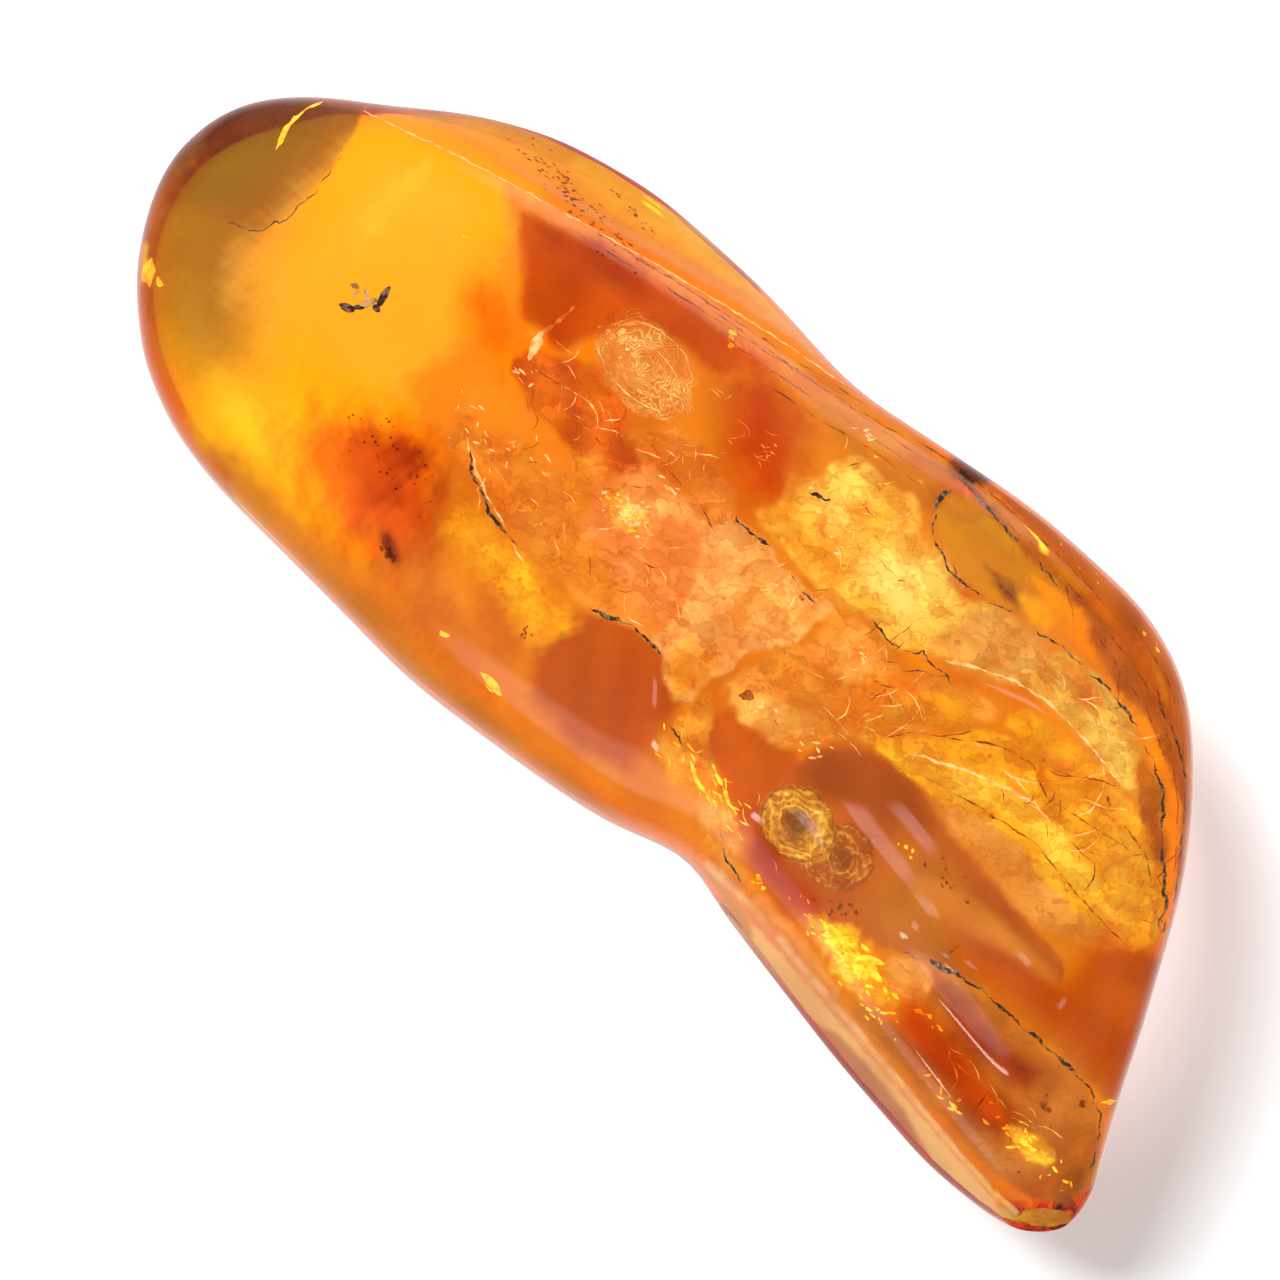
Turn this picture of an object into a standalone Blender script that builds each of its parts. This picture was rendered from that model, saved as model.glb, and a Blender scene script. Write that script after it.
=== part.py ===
"""A tumbled pebble of amber, lying on its worn flat underside.

Metres, +Z up, +X along the pebble towards its wedge-shaped end. The origin is at the middle of its
box, on the flat underside. Every length below is in millimetres and becomes metres at the end.
"""

import math

import bmesh
import bpy
import numpy as np

NAME = "amber_pebble"

# Driving dimensions, mm.
LENGTH = 50.0
CROWN = 13.3          # height of the top, before its crests and flutes
FLAT_DEPTH = 0.55     # how much of the round underside is worn away
FLAT_EDGE = 0.15      # height over which the worn flat blends into the round side

# The mesh: points round each cross-section, and cross-sections from end to end.
AROUND = 72
ALONG = 58

# The widest line round the pebble, seen from above: x, y and height z in mm, from the blunt end
# along the far side to the tip, and back along the near side.
RIM = (
    (-25.0, -3.3, 5.0), (-24.5, -1.1, 5.1), (-23.8, 0.0, 5.2), (-21.2, 2.5, 5.4), (-18.7, 4.9, 5.0),
    (-16.2, 6.5, 4.8), (-12.5, 7.8, 4.8), (-7.5, 8.4, 5.4), (-2.5, 8.4, 7.2), (0.0, 9.1, 8.2),
    (2.5, 9.8, 8.0), (5.0, 10.5, 7.2), (10.0, 11.15, 6.2), (12.5, 10.7, 6.0), (13.8, 10.1, 5.9),
    (16.2, 8.2, 5.8), (18.8, 5.3, 5.6), (20.0, 3.3, 5.5), (22.5, -0.7, 5.2), (23.8, -2.7, 5.2),
    (25.0, -5.3, 5.4), (23.8, -7.0, 4.6), (22.5, -7.4, 4.2), (20.0, -7.8, 4.0), (15.0, -7.8, 4.0),
    (10.0, -7.5, 4.2), (7.3, -7.3, 5.0), (6.4, -6.8, 6.2), (5.7, -7.0, 6.4), (5.0, -7.5, 6.4),
    (3.7, -8.3, 6.0), (0.0, -9.3, 5.4), (-5.0, -10.4, 5.0), (-10.0, -10.7, 4.8), (-15.0, -11.07, 4.8),
    (-17.5, -10.9, 4.8), (-20.0, -10.1, 4.8), (-22.5, -8.3, 4.8), (-23.8, -6.7, 4.9),
)
RIM_ROUNDING = 0.045  # radians of the trip round the rim over which its corners are rounded

# Crests, where the top breaks into a steep side: the crest's line as x, y points, the slope of the
# side beyond it, and the rounding of the break. One falls to the far side, and one to the near side.
BACK_CREST = (
    (-25.0, -0.4), (-21.3, 1.7), (-16.0, 3.9), (-9.0, 6.3), (-1.0, 8.9), (6.0, 12.0), (25.0, 20.0),
)
BACK_SLOPE = 1.9
BACK_ROUNDING = 0.4
FRONT_CREST = ((-25.0, -14.0), (0.0, -9.6), (5.2, -6.9), (8.0, -6.2), (13.0, -6.2), (25.0, -6.5))
FRONT_SLOPE = 3.6
FRONT_ROUNDING = 0.22

# Flutes and ridges of the top: the line as x, y points, the half-width and the height. Each fades
# in and out at the ends of its line.
FLUTES = (
    (((5.5, 3.4), (8.0, 5.0), (10.3, 6.0), (16.0, 6.0)), 1.4, 0.45),
    (((3.0, 7.4), (9.0, 8.2), (14.0, 7.4), (18.0, 4.4)), 1.1, -0.25),
    (((6.5, 0.4), (12.0, 0.2), (18.0, -0.3)), 1.8, -0.85),
    (((13.0, -3.0), (16.0, -1.9), (20.5, -1.6), (23.0, -2.7)), 1.0, 0.35),
    (((12.5, -3.5), (15.0, -3.7), (20.0, -4.1)), 1.1, -0.70),
    (((-10.5, 2.2), (-6.0, 1.2), (-1.5, 1.0)), 2.4, -0.30),
    (((-6.0, -3.0), (-1.0, -3.0), (3.0, -5.2)), 1.4, 0.25),
)
FLUTE_FADE = 0.8

# The chip at the tip: a point on its face and the direction that the face looks.
CHIP_POINT = (24.3, -5.9, 5.9)
CHIP_NORMAL = (0.62, -0.58, 0.53)


def round_curve(points, x, rounding):
    """Height of a line through the points at x, its corners rounded over the given length."""
    offsets = np.linspace(-2.0, 2.0, 9)
    weights = np.exp(-0.5 * offsets ** 2)
    px, py = np.transpose(points)
    reads = np.interp(x[..., None] + rounding * offsets, px, py)
    return reads @ (weights / weights.sum())


def rim(turn):
    """The widest line at an angle of the trip round it: 0 is the blunt end and pi the tip.

    Its y and z are read from RIM, closed on itself, with the corners rounded.
    """
    x, y, z = np.transpose(RIM)
    angle = np.arccos(np.clip(-2.0 * x / LENGTH, -1.0, 1.0))
    near = np.arange(len(x)) > np.argmax(x)
    angle = np.where(near, 2.0 * math.pi - angle, angle)
    laps = np.concatenate([angle - 2.0 * math.pi, angle, angle + 2.0 * math.pi])
    turn = turn % (2.0 * math.pi)
    return (round_curve(np.stack([laps, np.tile(y, 3)], 1), turn, RIM_ROUNDING),
            round_curve(np.stack([laps, np.tile(z, 3)], 1), turn, RIM_ROUNDING))


def past(distance, rounding):
    """The distance where it is above zero and nothing below, with a rounded corner between."""
    return rounding * np.logaddexp(0.0, distance / rounding)


def flute(points, width, height, x, y):
    """A rounded ridge, or a groove where height is below zero, along the line through the points."""
    across = (y - round_curve(points, x, FLUTE_FADE)) / width
    start = 1.0 / (1.0 + np.exp((points[0][0] - x) / FLUTE_FADE))
    stop = 1.0 / (1.0 + np.exp((x - points[-1][0]) / FLUTE_FADE))
    return height * start * stop * np.exp(-across ** 2)


def top_height(x, y):
    """Height of the top over x, y: a low crown, its two crests, and the flutes of the wedge."""
    z = CROWN - 0.0042 * (x + 2.0) ** 2 - 0.004 * y ** 2
    for points, width, height in FLUTES:
        z = z + flute(points, width, height, x, y)
    z = z - BACK_SLOPE * past(y - round_curve(BACK_CREST, x, 0.8), BACK_ROUNDING)
    z = z - FRONT_SLOPE * past(round_curve(FRONT_CREST, x, 0.8) - y, FRONT_ROUNDING)
    return z


def surface(along, around):
    """Points of the pebble's skin, mm.

    Cross-sections stand across X. Each runs between the two sides of the rim at its place, w from
    -1 to 1 across. Above the rim it swells to the top by (1 - |w|^n)^(1/n), and below it to the
    underside, which is flat where the swelling would pass z = 0. Both swellings close at the ends.
    """
    x = -0.5 * LENGTH * np.cos(along)
    w = np.cos(around)
    far_y, far_z = rim(along)
    near_y, near_z = rim(-along)
    y = near_y + (far_y - near_y) * (1.0 + w) / 2.0
    edge = near_z + (far_z - near_z) * (1.0 + w) / 2.0
    top_end = np.sqrt(1.0 - np.abs(np.cos(along)) ** 7)
    low_end = np.sqrt(1.0 - np.abs(np.cos(along)) ** 4)
    top_swell = top_end * (1.0 - np.abs(w) ** 2.7) ** (1.0 / 2.7)
    low_swell = low_end * np.sqrt(1.0 - w ** 2)
    top = edge + top_swell * (top_height(x, y) - edge)
    low = edge - low_swell * (edge + FLAT_DEPTH)
    blend = np.clip(low / FLAT_EDGE, 0.0, 2.0)
    low = np.where(low > 2.0 * FLAT_EDGE, low - FLAT_EDGE, FLAT_EDGE * blend ** 2 / 4.0)
    z = np.where(np.sin(around) >= 0.0, np.maximum(top, edge), np.minimum(low, edge))
    return x, y, z


def chip_off(points):
    """Press the points that stand in front of the chip's plane back onto it."""
    normal = np.array(CHIP_NORMAL) / np.linalg.norm(CHIP_NORMAL)
    ahead = np.maximum((points - np.array(CHIP_POINT)) @ normal, 0.0)
    return points - ahead[:, None] * normal


def amber():
    """Honey-coloured amber, polished."""
    material = bpy.data.materials.new("amber")
    material.use_nodes = True
    shader = material.node_tree.nodes["Principled BSDF"]
    shader.inputs["Base Color"].default_value = (0.85, 0.32, 0.03, 1.0)
    shader.inputs["Roughness"].default_value = 0.08
    shader.inputs["Metallic"].default_value = 0.0
    shader.inputs["IOR"].default_value = 1.54
    shader.inputs["Transmission Weight"].default_value = 0.85
    return material


def pebble(collection):
    """A sphere with its poles on X, each point of it carried to its place on the pebble's skin."""
    bm = bmesh.new()
    bmesh.ops.create_uvsphere(bm, u_segments=AROUND, v_segments=ALONG, radius=1.0)
    mesh = bpy.data.meshes.new(NAME)
    bm.to_mesh(mesh)
    bm.free()
    unit = np.empty(3 * len(mesh.vertices))
    mesh.vertices.foreach_get("co", unit)
    side, up, pole = unit.reshape(-1, 3).T
    along = np.arccos(np.clip(-pole, -1.0, 1.0))
    around = np.arctan2(up, side)
    points = chip_off(np.stack(surface(along, around), 1))
    mesh.vertices.foreach_set("co", (points / 1000.0).ravel())
    mesh.update()
    mesh.shade_smooth()
    mesh.materials.append(amber())
    collection.objects.link(bpy.data.objects.new(NAME, mesh))
    return mesh


def main():
    for old in list(bpy.data.objects):
        bpy.data.objects.remove(old, do_unlink=True)
    collection = bpy.data.collections.new(NAME)
    bpy.context.scene.collection.children.link(collection)
    pebble(collection)


main()
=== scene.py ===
# %% [markdown]
# # A tumbled pebble of amber
#
# The pebble is one piece of fossil resin, clear enough to look into. Most of what is seen is inside
# it: a cloudy sheet where one flow of resin ran over the last, cracks with dirt in their edges, golden
# stress discs, redder zones and small flecks. So this scene has a clear body with a polished skin, and
# thin pieces of mesh sealed inside it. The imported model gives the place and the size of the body.

import math

import bpy
import numpy as np
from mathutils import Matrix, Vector


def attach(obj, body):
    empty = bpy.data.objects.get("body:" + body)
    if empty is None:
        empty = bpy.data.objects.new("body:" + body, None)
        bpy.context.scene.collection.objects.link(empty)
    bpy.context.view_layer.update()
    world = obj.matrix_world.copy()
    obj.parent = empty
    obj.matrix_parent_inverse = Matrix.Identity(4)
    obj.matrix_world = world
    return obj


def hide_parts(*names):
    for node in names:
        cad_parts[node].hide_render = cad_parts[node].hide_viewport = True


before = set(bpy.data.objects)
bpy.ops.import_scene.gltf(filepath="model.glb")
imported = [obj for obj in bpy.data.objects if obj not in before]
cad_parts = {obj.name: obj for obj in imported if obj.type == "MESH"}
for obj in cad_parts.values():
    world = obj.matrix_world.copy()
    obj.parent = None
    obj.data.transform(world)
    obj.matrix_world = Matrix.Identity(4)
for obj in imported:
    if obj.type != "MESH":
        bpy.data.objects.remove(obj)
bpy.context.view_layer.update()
MM = 0.001

# %% [markdown]
# ## The pebble's form
#
# The skin is a loft: cross-sections standing across X, each between the two sides of the rim, the
# pebble's widest line. The same formula made the solid in the frame, so the fine skin here lies on
# it. A sculpted mesh could look as good, but a formula also tells where the skin is above any point,
# and that places every sheet and crack at a known depth below the polish.

# %% Driving values of the form, in millimetres
LENGTH = 50.0
CROWN = 13.3          # height of the top, before its crests and flutes
FLAT_DEPTH = 0.55     # how much of the round underside is worn away
FLAT_EDGE = 0.15      # height over which the worn flat blends into the round side

# The rim: x, y and height, from the blunt end along the far side to the tip and back.
RIM = (
    (-25.0, -3.3, 5.0), (-24.5, -1.1, 5.1), (-23.8, 0.0, 5.2), (-21.2, 2.5, 5.4), (-18.7, 4.9, 5.0),
    (-16.2, 6.5, 4.8), (-12.5, 7.8, 4.8), (-7.5, 8.4, 5.4), (-2.5, 8.4, 7.2), (0.0, 9.1, 8.2),
    (2.5, 9.8, 8.0), (5.0, 10.5, 7.2), (10.0, 11.15, 6.2), (12.5, 10.7, 6.0), (13.8, 10.1, 5.9),
    (16.2, 8.2, 5.8), (18.8, 5.3, 5.6), (20.0, 3.3, 5.5), (22.5, -0.7, 5.2), (23.8, -2.7, 5.2),
    (25.0, -5.3, 5.4), (23.8, -7.0, 4.6), (22.5, -7.4, 4.2), (20.0, -7.8, 4.0), (15.0, -7.8, 4.0),
    (10.0, -7.5, 4.2), (7.3, -7.3, 5.0), (6.4, -6.8, 6.2), (5.7, -7.0, 6.4), (5.0, -7.5, 6.4),
    (3.7, -8.3, 6.0), (0.0, -9.3, 5.4), (-5.0, -10.4, 5.0), (-10.0, -10.7, 4.8), (-15.0, -11.07, 4.8),
    (-17.5, -10.9, 4.8), (-20.0, -10.1, 4.8), (-22.5, -8.3, 4.8), (-23.8, -6.7, 4.9),
)
RIM_ROUNDING = 0.045

# The crests, where the top breaks into a steep side: line, slope beyond it, rounding of the break.
BACK_CREST = (
    (-25.0, -0.4), (-21.3, 1.7), (-16.0, 3.9), (-9.0, 6.3), (-1.0, 8.9), (6.0, 12.0), (25.0, 20.0),
)
BACK_SLOPE = 1.9
BACK_ROUNDING = 0.4
FRONT_CREST = ((-25.0, -14.0), (0.0, -9.6), (5.2, -6.9), (8.0, -6.2), (13.0, -6.2), (25.0, -6.5))
FRONT_SLOPE = 3.6
FRONT_ROUNDING = 0.22

# Flutes and ridges of the top: line, half-width and height.
FLUTES = (
    (((5.5, 3.4), (8.0, 5.0), (10.3, 6.0), (16.0, 6.0)), 1.4, 0.45),
    (((3.0, 7.4), (9.0, 8.2), (14.0, 7.4), (18.0, 4.4)), 1.1, -0.25),
    (((6.5, 0.4), (12.0, 0.2), (18.0, -0.3)), 1.8, -0.85),
    (((13.0, -3.0), (16.0, -1.9), (20.5, -1.6), (23.0, -2.7)), 1.0, 0.35),
    (((12.5, -3.5), (15.0, -3.7), (20.0, -4.1)), 1.1, -0.70),
    (((-10.5, 2.2), (-6.0, 1.2), (-1.5, 1.0)), 2.4, -0.30),
    (((-6.0, -3.0), (-1.0, -3.0), (3.0, -5.2)), 1.4, 0.25),
)
FLUTE_FADE = 0.8
CHIP_POINT = (24.3, -5.9, 5.9)
CHIP_NORMAL = (0.62, -0.58, 0.53)


# %% Curves and crests
def round_curve(points, x, rounding):
    """Height of a line through the points at x, averaged with Gaussian weights over the rounding."""
    offsets = np.linspace(-2.0, 2.0, 9)
    weights = np.exp(-0.5 * offsets ** 2)
    px, py = np.transpose(points)
    reads = np.interp(np.asarray(x, float)[..., None] + rounding * offsets, px, py)
    return reads @ (weights / weights.sum())


def rim(turn):
    """y and z of the rim at an angle of the trip round it: 0 at the blunt end, pi at the tip."""
    x, y, z = np.transpose(RIM)
    angle = np.arccos(np.clip(-2.0 * x / LENGTH, -1.0, 1.0))
    near = np.arange(len(x)) > np.argmax(x)
    angle = np.where(near, 2.0 * math.pi - angle, angle)
    laps = np.concatenate([angle - 2.0 * math.pi, angle, angle + 2.0 * math.pi])
    turn = turn % (2.0 * math.pi)
    return (round_curve(np.stack([laps, np.tile(y, 3)], 1), turn, RIM_ROUNDING),
            round_curve(np.stack([laps, np.tile(z, 3)], 1), turn, RIM_ROUNDING))


def past(distance, rounding):
    """Softplus: the distance above zero and nothing below, with a rounded corner between."""
    return rounding * np.logaddexp(0.0, distance / rounding)


def flute(points, width, height, x, y):
    """A ridge: height times a bell curve across the line, times a smooth step at each end."""
    across = (y - round_curve(points, x, FLUTE_FADE)) / width
    start = 1.0 / (1.0 + np.exp((points[0][0] - x) / FLUTE_FADE))
    stop = 1.0 / (1.0 + np.exp((x - points[-1][0]) / FLUTE_FADE))
    return height * start * stop * np.exp(-across ** 2)


def top_height(x, y):
    """Height of the uncut top: a low crown, plus its flutes, less the falls beyond both crests."""
    z = CROWN - 0.0042 * (x + 2.0) ** 2 - 0.004 * y ** 2
    for points, width, height in FLUTES:
        z = z + flute(points, width, height, x, y)
    z = z - BACK_SLOPE * past(y - round_curve(BACK_CREST, x, 0.8), BACK_ROUNDING)
    return z - FRONT_SLOPE * past(round_curve(FRONT_CREST, x, 0.8) - y, FRONT_ROUNDING)


# %% The skin
def skin(along, around):
    """Points of the skin, mm, at an angle along the pebble and an angle round its cross-section.

    Across a section w = cos(around). Above the rim it swells to the top by (1 - |w|^2.7)^(1/2.7),
    and below it to the underside by (1 - w^2)^(1/2), flat where that would pass z = 0.
    """
    x = -0.5 * LENGTH * np.cos(along)
    w = np.cos(around)
    far_y, far_z = rim(along)
    near_y, near_z = rim(-along)
    y = near_y + (far_y - near_y) * (1.0 + w) / 2.0
    edge = near_z + (far_z - near_z) * (1.0 + w) / 2.0
    top_end = np.sqrt(1.0 - np.abs(np.cos(along)) ** 7)
    low_end = np.sqrt(1.0 - np.abs(np.cos(along)) ** 4)
    top_swell = top_end * (1.0 - np.abs(w) ** 2.7) ** (1.0 / 2.7)
    low_swell = low_end * np.sqrt(1.0 - w ** 2)
    top = edge + top_swell * (top_height(x, y) - edge)
    low = edge - low_swell * (edge + FLAT_DEPTH)
    blend = np.clip(low / FLAT_EDGE, 0.0, 2.0)
    low = np.where(low > 2.0 * FLAT_EDGE, low - FLAT_EDGE, FLAT_EDGE * blend ** 2 / 4.0)
    z = np.where(np.sin(around) >= 0.0, np.maximum(top, edge), np.minimum(low, edge))
    points = np.stack([x, y, z], -1)
    normal = np.array(CHIP_NORMAL) / np.linalg.norm(CHIP_NORMAL)
    ahead = np.maximum((points - np.array(CHIP_POINT)) @ normal, 0.0)
    return points - ahead[..., None] * normal


def skin_over(x, y):
    """Height of the top skin over x, y, mm: the section angles that x and y stand for, put in skin."""
    along = np.arccos(np.clip(-2.0 * np.asarray(x, float) / LENGTH, -0.9995, 0.9995))
    far_y, near_y = rim(along)[0], rim(-along)[0]
    w = np.clip(2.0 * (y - near_y) / (far_y - near_y) - 1.0, -0.98, 0.98)
    return skin(along, np.arccos(w))[..., 2]


print("skin over the middle, mm:", round(float(skin_over(0.0, 0.0)), 2))


# %% Grids into meshes
def grid_faces(rows, columns, closed):
    """Corner numbers of a grid's four-sided faces; a closed grid joins its last column to the first."""
    r, c = np.meshgrid(np.arange(rows - 1), np.arange(columns if closed else columns - 1), indexing="ij")
    n = (c + 1) % columns
    return np.stack([r * columns + c, r * columns + n, (r + 1) * columns + n, (r + 1) * columns + c], -1)


def make_mesh(name, points, faces, material, smooth=True):
    """A named object from points in mm and rows of corner numbers, riding on the pebble."""
    mesh = bpy.data.meshes.new(name)
    mesh.from_pydata((np.reshape(points, (-1, 3)) * MM).tolist(), [], [list(map(int, f)) for f in faces])
    mesh.polygons.foreach_set("use_smooth", [smooth] * len(mesh.polygons))
    mesh.materials.append(material)
    piece = bpy.data.objects.new(name, mesh)
    bpy.context.scene.collection.objects.link(piece)
    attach(piece, "root")
    return piece


# %% [markdown]
# ## Regions by outline
#
# The resin's zones and cloudy layers have shapes of their own: wedges, bays and leaves. Each is given
# in plan by a closed outline of a few points. The distance of every vertex from an outline, bent by
# smooth random waves, makes its edge crisp or soft and a little ragged. Colours are laid one over the
# other in this way and kept as a colour attribute of the mesh. A pattern of nodes alone would need no
# attribute, but it could not follow such shapes.


# %% Waves and outlines
def waves(x, y, size, seed):
    """Six cosines in seeded directions, added and scaled to about -1 to 1: a smooth random height."""
    rng = np.random.default_rng(seed)
    angle, phase = rng.uniform(0, 2 * math.pi, (2, 6))
    pace = 2.0 * math.pi / (size * rng.uniform(0.6, 1.6, 6))
    slant = np.multiply.outer(x, np.cos(angle) * pace) + np.multiply.outer(y, np.sin(angle) * pace)
    return np.cos(slant + phase).sum(-1) / 3.5


def closed_curve(points, count, rounding):
    """Points round a closed outline at even steps of length, its corners averaged over the rounding."""
    loop = np.array([*points, points[0]], float)
    reach = np.concatenate([[0.0], np.cumsum(np.hypot(*np.diff(loop, axis=0).T))])
    turn = np.linspace(0.0, reach[-1], count, endpoint=False)
    offsets = np.linspace(-2.0, 2.0, 9)
    weights = np.exp(-0.5 * offsets ** 2) / np.exp(-0.5 * offsets ** 2).sum()
    places = (turn[:, None] + rounding * offsets) % reach[-1]
    return np.stack([np.interp(places, reach, loop[:, axis]) @ weights for axis in (0, 1)], 1)


def inside(outline, x, y, rounding=0.18, count=64):
    """How far x, y lies inside a closed outline, in mm, and below zero outside it.

    The size is the least distance to the outline's short sides, and the sign comes from how many of
    them a line towards +X crosses.
    """
    start = closed_curve(outline, count, rounding)
    side = np.roll(start, -1, 0) - start
    from_x, from_y = x[:, None] - start[:, 0], y[:, None] - start[:, 1]
    share = np.clip((from_x * side[:, 0] + from_y * side[:, 1]) / (side ** 2).sum(1), 0.0, 1.0)
    distance = np.hypot(from_x - share * side[:, 0], from_y - share * side[:, 1]).min(1)
    between = (from_y < 0.0) != (from_y < side[:, 1])
    rise = np.where(side[:, 1] == 0.0, 1.0, side[:, 1])
    crossed = between & (from_x < from_y * side[:, 0] / rise)
    return np.where(crossed.sum(1) % 2 == 1, distance, -distance)


def srgb(red, green, blue):
    """A colour seen as 0 to 255 in a picture, as Blender's linear light."""
    share = np.array([red, green, blue]) / 255.0
    linear = np.where(share <= 0.04045, share / 12.92, ((share + 0.055) / 1.055) ** 2.4)
    return (*map(float, linear), 1.0)


# %% Paint
def paint(regions, x, y, seed, start=(255, 255, 255)):
    """Colour and cover at x, y: each region is laid over the ones before it.

    A region's share is a smooth step of its depth inside the outline, over its softness, with waves of
    its raggedness added. Its colour runs from dark to light by waves of its grain.
    """
    color = np.tile(srgb(*start)[:3], (len(x), 1))
    cover = np.zeros(len(x))
    for number, (outline, soft, ragged, dark, light, grain, hides) in enumerate(regions.values()):
        low, high = np.min(outline, 0) - soft - 1.5 * ragged, np.max(outline, 0) + soft + 1.5 * ragged
        near = (x > low[0]) & (x < high[0]) & (y > low[1]) & (y < high[1])
        px, py = x[near], y[near]
        own = seed + 10 * number
        depth = inside(outline, px, py)
        depth = depth + ragged * (0.6 * waves(px, py, 1.5, own) + 0.4 * waves(px, py, 0.45, own + 1))
        share = np.clip(0.5 + 0.5 * depth / soft, 0.0, 1.0)
        share = (share * share * (3.0 - 2.0 * share))[:, None]
        mottle = 0.5 + 0.55 * waves(px, py, 1.0 + 1.6 * grain, own + 2)
        mottle = np.clip(mottle, 0.0, 1.0)[:, None]
        tone = np.array(srgb(*dark)[:3]) * (1.0 - mottle) + np.array(srgb(*light)[:3]) * mottle
        color[near] = color[near] * (1.0 - share) + tone * share
        cover[near] = cover[near] * (1.0 - share[:, 0]) + hides * share[:, 0]
    return color, cover


def keep_paint(piece, color, cover):
    """Store the colour and cover of each vertex as the mesh's paint attribute."""
    layer = piece.data.attributes.new("paint", "FLOAT_COLOR", "POINT")
    layer.data.foreach_set("color", np.column_stack([color, cover]).ravel())


# %% [markdown]
# ## Helpers for materials
#
# Every finish below is a small tree of nodes that reads Object coordinates, so its pattern stays fixed
# in the resin. A few helpers keep the trees short: one adds a node with its values and links, one gives
# the coordinates in millimetres, moved by a seed so that no two finishes share a pattern, and the
# others each stand for one kind of node.


# %% Node helpers
def add_node(tree, kind, settings=None, **inputs):
    """A node with its settings, and its inputs given as numbers, colours or other nodes' outputs."""
    node = tree.nodes.new("ShaderNode" + kind)
    for name, value in (settings or {}).items():
        setattr(node, name, value)
    for name, value in inputs.items():
        socket = node.inputs[int(name[1:])] if name[1:].isdigit() else node.inputs[name.replace("_", " ")]
        if isinstance(value, bpy.types.NodeSocket):
            tree.links.new(value, socket)
        else:
            socket.default_value = value
    return node


def millimetres(tree, seed=0.0):
    """Object coordinates in millimetres, moved by the seed."""
    place = add_node(tree, "TexCoord").outputs["Object"]
    return add_node(tree, "Mapping", Vector=place, Scale=(1 / MM, 1 / MM, 1 / MM),
                    Location=(seed * 7.3, seed * 3.1, seed * 5.7)).outputs["Vector"]


def noise(tree, where, scale, detail=5.0, roughness=0.6, distortion=0.0):
    """Noise, 0 to 1, with the given number of features per millimetre."""
    return add_node(tree, "TexNoise", Vector=where, Scale=scale, Detail=detail, Roughness=roughness,
                    Distortion=distortion).outputs["Fac"]


def step(tree, value, low, high, start=0.0, end=1.0):
    """A smooth step: start up to low, end from high on."""
    return add_node(tree, "MapRange", {"interpolation_type": "SMOOTHSTEP"}, Value=value,
                    _1=low, _2=high, _3=start, _4=end).outputs["Result"]


def math_node(tree, operation, first, second=0.0):
    """One arithmetic step."""
    return add_node(tree, "Math", {"operation": operation}, _0=first, _1=second).outputs["Value"]


def mix_color(tree, blend, factor, first, second):
    """Two colours put together by the given blend."""
    kind = {"data_type": "RGBA", "blend_type": blend}
    return add_node(tree, "Mix", kind, _0=factor, _6=first, _7=second).outputs[2]


def vector_math(tree, operation, first, output="Vector", **inputs):
    """One step of vector arithmetic."""
    return add_node(tree, "VectorMath", {"operation": operation}, _0=first, **inputs).outputs[output]


def color_ramp(tree, value, stops):
    """A colour for each value: stops are (place, linear colour)."""
    node = add_node(tree, "ValToRGB", Fac=value)
    ramp = node.color_ramp
    while len(ramp.elements) < len(stops):
        ramp.elements.new(0.5)
    for element, (place, color) in zip(ramp.elements, stops):
        element.position = place
        element.color = color
    return node.outputs["Color"]


def glow_with(tree, shader, color, strength):
    """Put a colour on a shader both as its surface and as a weak light of its own."""
    tree.links.new(color, shader.inputs["Base Color"])
    tree.links.new(color, shader.inputs["Emission Color"])
    shader.inputs["Emission Strength"].default_value = strength


def new_material(name):
    """An empty material with a Principled shader: the tree and the shader."""
    material = bpy.data.materials.new(name)
    material.use_nodes = True
    return material, material.node_tree, material.node_tree.nodes["Principled BSDF"]


# %% [markdown]
# ## The clear body
#
# Amber is a clear resin that swallows blue light, then green. A glass with a coloured surface would be
# the same colour where it is thin and where it is thick. So the shader refracts at the skin, and a
# Volume Absorption node takes the light away along the path inside, which leaves thin edges pale
# yellow and thick parts orange. Redder, smokier and clearer resin lie in zones through the pebble.
# Each zone tints the light that passes one skin, the top or the underside: a zone on the underside
# shows deep and soft, bent by the refraction, and one on the top stays where it is drawn.

# %% Zones of the resin
AMBER_IOR = 1.54
ABSORB_COLOR = (0.988, 0.915, 0.04)
ABSORB_DENSITY = 500.0   # per metre of path

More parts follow.
